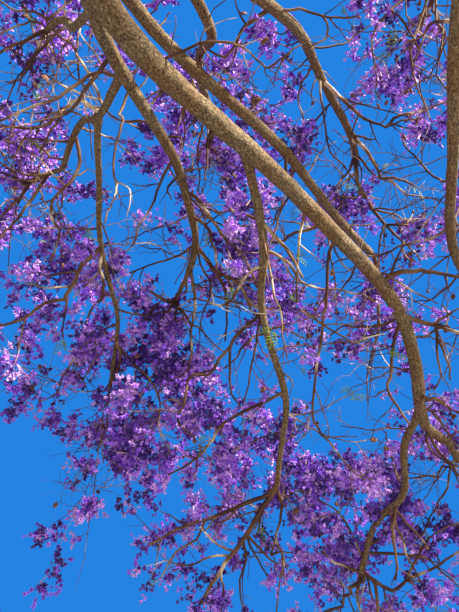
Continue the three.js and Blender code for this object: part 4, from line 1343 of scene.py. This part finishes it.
class Nodes:
    """A material's node tree, with short calls to add and link nodes."""

    def __init__(self, name):
        self.material = bpy.data.materials.new(name)
        self.material.use_nodes = True
        self.tree = self.material.node_tree
        self.shader = self.tree.nodes["Principled BSDF"]

    def add(self, kind, inputs=None, **settings):
        node = self.tree.nodes.new("ShaderNode" + kind)
        for key, value in settings.items():
            setattr(node, key, value)
        for key, value in (inputs or {}).items():
            self.put(value, node.inputs[key])
        return node

    def put(self, value, socket):
        if isinstance(value, bpy.types.NodeSocket):
            self.tree.links.new(value, socket)
        else:
            socket.default_value = value

    def ramp(self, factor, *stops):
        node = self.add("ValToRGB", {"Fac": factor})
        elements = node.color_ramp.elements
        while len(elements) < len(stops):
            elements.new(0.5)
        for element, (place, colour) in zip(elements, stops):
            element.position, element.color = place, (*colour, 1)
        return node.outputs["Color"]

    def multiply(self, share, a, b):
        node = self.add("Mix", data_type="RGBA", blend_type="MULTIPLY")
        for value, i in ((share, 0), (a, 6), (b, 7)):
            self.put(value, node.inputs[i])
        return node.outputs[2]

    def place(self):
        return self.add("TexCoord").outputs["Object"]

    def noise(self, vector, scale, detail, roughness=0.5):
        return self.add("TexNoise", {"Vector": vector, "Scale": scale, "Detail": detail,
                                     "Roughness": roughness}).outputs["Fac"]

    def bump(self, height, strength, distance, **below):
        return self.add("Bump", {"Height": height, "Strength": strength, "Distance": distance,
                                 **below}).outputs["Normal"]

    def finish(self, **sockets):
        for key, value in sockets.items():
            self.put(value, self.shader.inputs[key.replace("_", " ")])
        return self.material


def bark_material():
    """Grey-tan bark: mottled, finely fissured along the limb, with dark specks and pale patches."""
    n = Nodes("bark")
    grain = n.add("Attribute", attribute_name="grain").outputs["Vector"]
    along = n.add("Mapping", {"Vector": grain, "Scale": (1, 1, 0.5)}).outputs["Vector"]
    fine, mottle = n.noise(along, 125, 6, 0.65), n.noise(along, 48, 4, 0.6)
    specks = n.add("TexVoronoi", {"Vector": along, "Scale": 46}).outputs["Distance"]
    skin = n.ramp(fine, (0.34, (0.035, 0.021, 0.009)), (0.45, (0.14, 0.094, 0.043)),
                  (0.56, (0.28, 0.205, 0.107)), (0.7, (0.62, 0.51, 0.34)))
    blotch = n.ramp(mottle, (0.34, (0.55, 0.49, 0.41)), (0.48, (0.9, 0.87, 0.81)),
                    (0.66, (1.12, 1.08, 1.0)))
    grey = n.ramp(n.noise(n.place(), 3.2, 2), (0.4, (0.95, 0.8, 0.6)), (0.62, (1.08, 1.08, 1.05)))
    dots = n.ramp(specks, (0.08, (0.3, 0.22, 0.14)), (0.2, (1, 1, 1)))
    colour = n.multiply(1.0, n.multiply(1.0, n.multiply(0.85, skin, blotch), grey), dots)
    rough = n.bump(mottle, 0.6, 0.008, Normal=n.bump(fine, 0.9, 0.006))
    return n.finish(Base_Color=colour, Roughness=0.88, Normal=rough)


def twig_material():
    """Young bark, red-brown in places; its cream patches are a painted highlight of sunlit twigs, laid at
    random places.
    """
    n = Nodes("twig")
    place = n.place()
    fine = n.noise(place, 120, 3)
    # The cream top stop is a painted highlight; the red-brown stops are the young bark's own colour.
    skin = n.ramp(n.noise(place, 3.4, 2), (0.38, (0.075, 0.024, 0.01)), (0.5, (0.17, 0.075, 0.03)),
                  (0.59, (0.32, 0.19, 0.09)), (0.67, (0.85, 0.68, 0.45)))
    speckle = n.ramp(fine, (0.35, (0.55, 0.5, 0.45)), (0.6, (1.1, 1.1, 1.1)))
    return n.finish(Base_Color=n.multiply(1.0, skin, speckle), Roughness=0.7,
                    Normal=n.bump(fine, 0.5, 0.002))


def petal_material(name, colour):
    """Soft petals of one plain tint, finely veined."""
    n = Nodes("petal_" + name)
    return n.finish(Base_Color=(*colour, 1), Roughness=0.5, Sheen_Weight=0.25,
                    Normal=n.bump(n.noise(n.place(), 240, 2), 0.35, 0.002))


def leaf_material():
    n = Nodes("leaf")
    colour = n.ramp(n.noise(n.place(), 18, 2), (0.38, (0.07, 0.2, 0.012)), (0.6, (0.24, 0.42, 0.03)))
    return n.finish(Base_Color=colour, Roughness=0.5)


def pod_material():
    n = Nodes("pod")
    shade = n.noise(n.place(), 90, 4)
    colour = n.ramp(shade, (0.38, (0.06, 0.02, 0.01)), (0.65, (0.28, 0.11, 0.045)))
    return n.finish(Base_Color=colour, Roughness=0.6, Normal=n.bump(shade, 0.6, 0.003))


# Studio

FLOOR_COLOUR = (0.44, 0.43, 0.41)
BACKDROP_COLOUR = (0.018, 0.225, 0.76)
FLOOR_DROP = 0.002  # below the trunk's cut foot
BACKDROP_RADIUS = 150
SOFT_LIGHT = (0.78, 0.84, 1.0)
SOFT_STRENGTH = 0.33
SUN_FROM = (0.8, -0.62, 0.42)
SUN_COLOUR = (1.0, 0.95, 0.89)
SUN_ENERGY = 11
SUN_WIDTH = math.radians(5)
CLIP = (0.05, 500)


def make_studio():
    data = bpy.data.cameras.new("camera")
    data.lens, data.sensor_width = LENS, SENSOR
    data.clip_start, data.clip_end = CLIP
    camera = linked("camera", data)
    camera.location = CAMERA_PLACE
    camera.rotation_euler = (math.radians(90) + CAMERA_TILT, 0, 0)
    bpy.context.scene.camera = camera

    bpy.ops.mesh.primitive_circle_add(vertices=96, radius=BACKDROP_RADIUS, fill_type="TRIFAN")
    floor = bpy.context.object
    floor.name = "floor"
    ground = Nodes("floor")
    floor.data.materials.append(ground.finish(Base_Color=(*FLOOR_COLOUR, 1), Roughness=0.9))
    floor.location.z = -FLOOR_DROP

    bpy.ops.mesh.primitive_uv_sphere_add(segments=48, ring_count=24, radius=BACKDROP_RADIUS)
    backdrop = bpy.context.object
    backdrop.name = "backdrop"
    plain = Nodes("backdrop")
    backdrop.data.materials.append(plain.finish(
        Base_Color=(0, 0, 0, 1), Roughness=1.0, Specular_IOR_Level=0.0,
        Emission_Color=(*BACKDROP_COLOUR, 1), Emission_Strength=1.0))
    backdrop.visible_diffuse = backdrop.visible_glossy = backdrop.visible_transmission = False
    backdrop.visible_shadow = False

    sun = bpy.data.lights.new("sun", "SUN")
    sun.energy, sun.angle, sun.color = SUN_ENERGY, SUN_WIDTH, SUN_COLOUR
    linked("sun", sun).rotation_euler = Vector(SUN_FROM).to_track_quat("Z", "Y").to_euler()

    world = bpy.data.worlds.new("soft_light")
    world.use_nodes = True
    background = world.node_tree.nodes["Background"].inputs
    background["Color"].default_value = (*SOFT_LIGHT, 1)
    background["Strength"].default_value = SOFT_STRENGTH
    bpy.context.scene.world = world
    bpy.context.scene.view_settings.view_transform = "Standard"


def leader_of(limb):
    while limb.parent.name != "trunk":
        limb = limb.parent
    return limb.name.replace("leader_", "")


def build_tree():
    crown = Crown()
    bark, twig, leaf, pod = bark_material(), twig_material(), leaf_material(), pod_material()
    petals = {tint: petal_material(tint, colour) for tint, (colour, _) in TINTS.items()}
    rng = np.random.default_rng(20)
    laid, shown = lay_branches(crown, rng)
    sectors = {}
    for i, mass in enumerate(crown.masses):
        sector = sectors.setdefault(leader_of(mass.limb), Sector(shown))
        sector.nodes.append(mass.name)
        shoots = crown.grow(mass, SEED + SEED_STEP * i)
        for shoot in shoots:
            dress_shoot(sector, shoot, mass, rng)
        for shoot in crown.grow_finer(mass, shoots, shown, rng):
            dress_finer(sector, shoot, mass, rng)
    for limb in crown.limbs.values():
        bark_piece(limb, crown, bark, rng)
        if limb.name.startswith("bough"):
            dress_bough(sectors[leader_of(limb)], limb, crown, rng)
    for name, branches in laid.items():
        for line, radii, ending in branches:
            length = np.linalg.norm(np.diff(line, axis=0), axis=1).sum()
            add_branch(sectors[leader_of(crown.limbs[name])], rng, line, radii, LAID_BLOOM,
                       round(length / TWIG_SPACING), ending)
    for side, sector in sectors.items():
        sector.wood.piece("twigs_" + side, twig, "twig", sector.nodes, True)
        sector.leaves.piece("leaves_" + side, leaf, "leaf", sector.nodes, False)
        sector.pods.piece("pods_" + side, pod, "pod", sector.nodes, False)
        for tint, flowers in sector.flowers.items():
            flowers.pile().piece("petals_%s_%s" % (side, tint), petals[tint], "blossom",
                                 sector.nodes, False)


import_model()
build_tree()
make_studio()
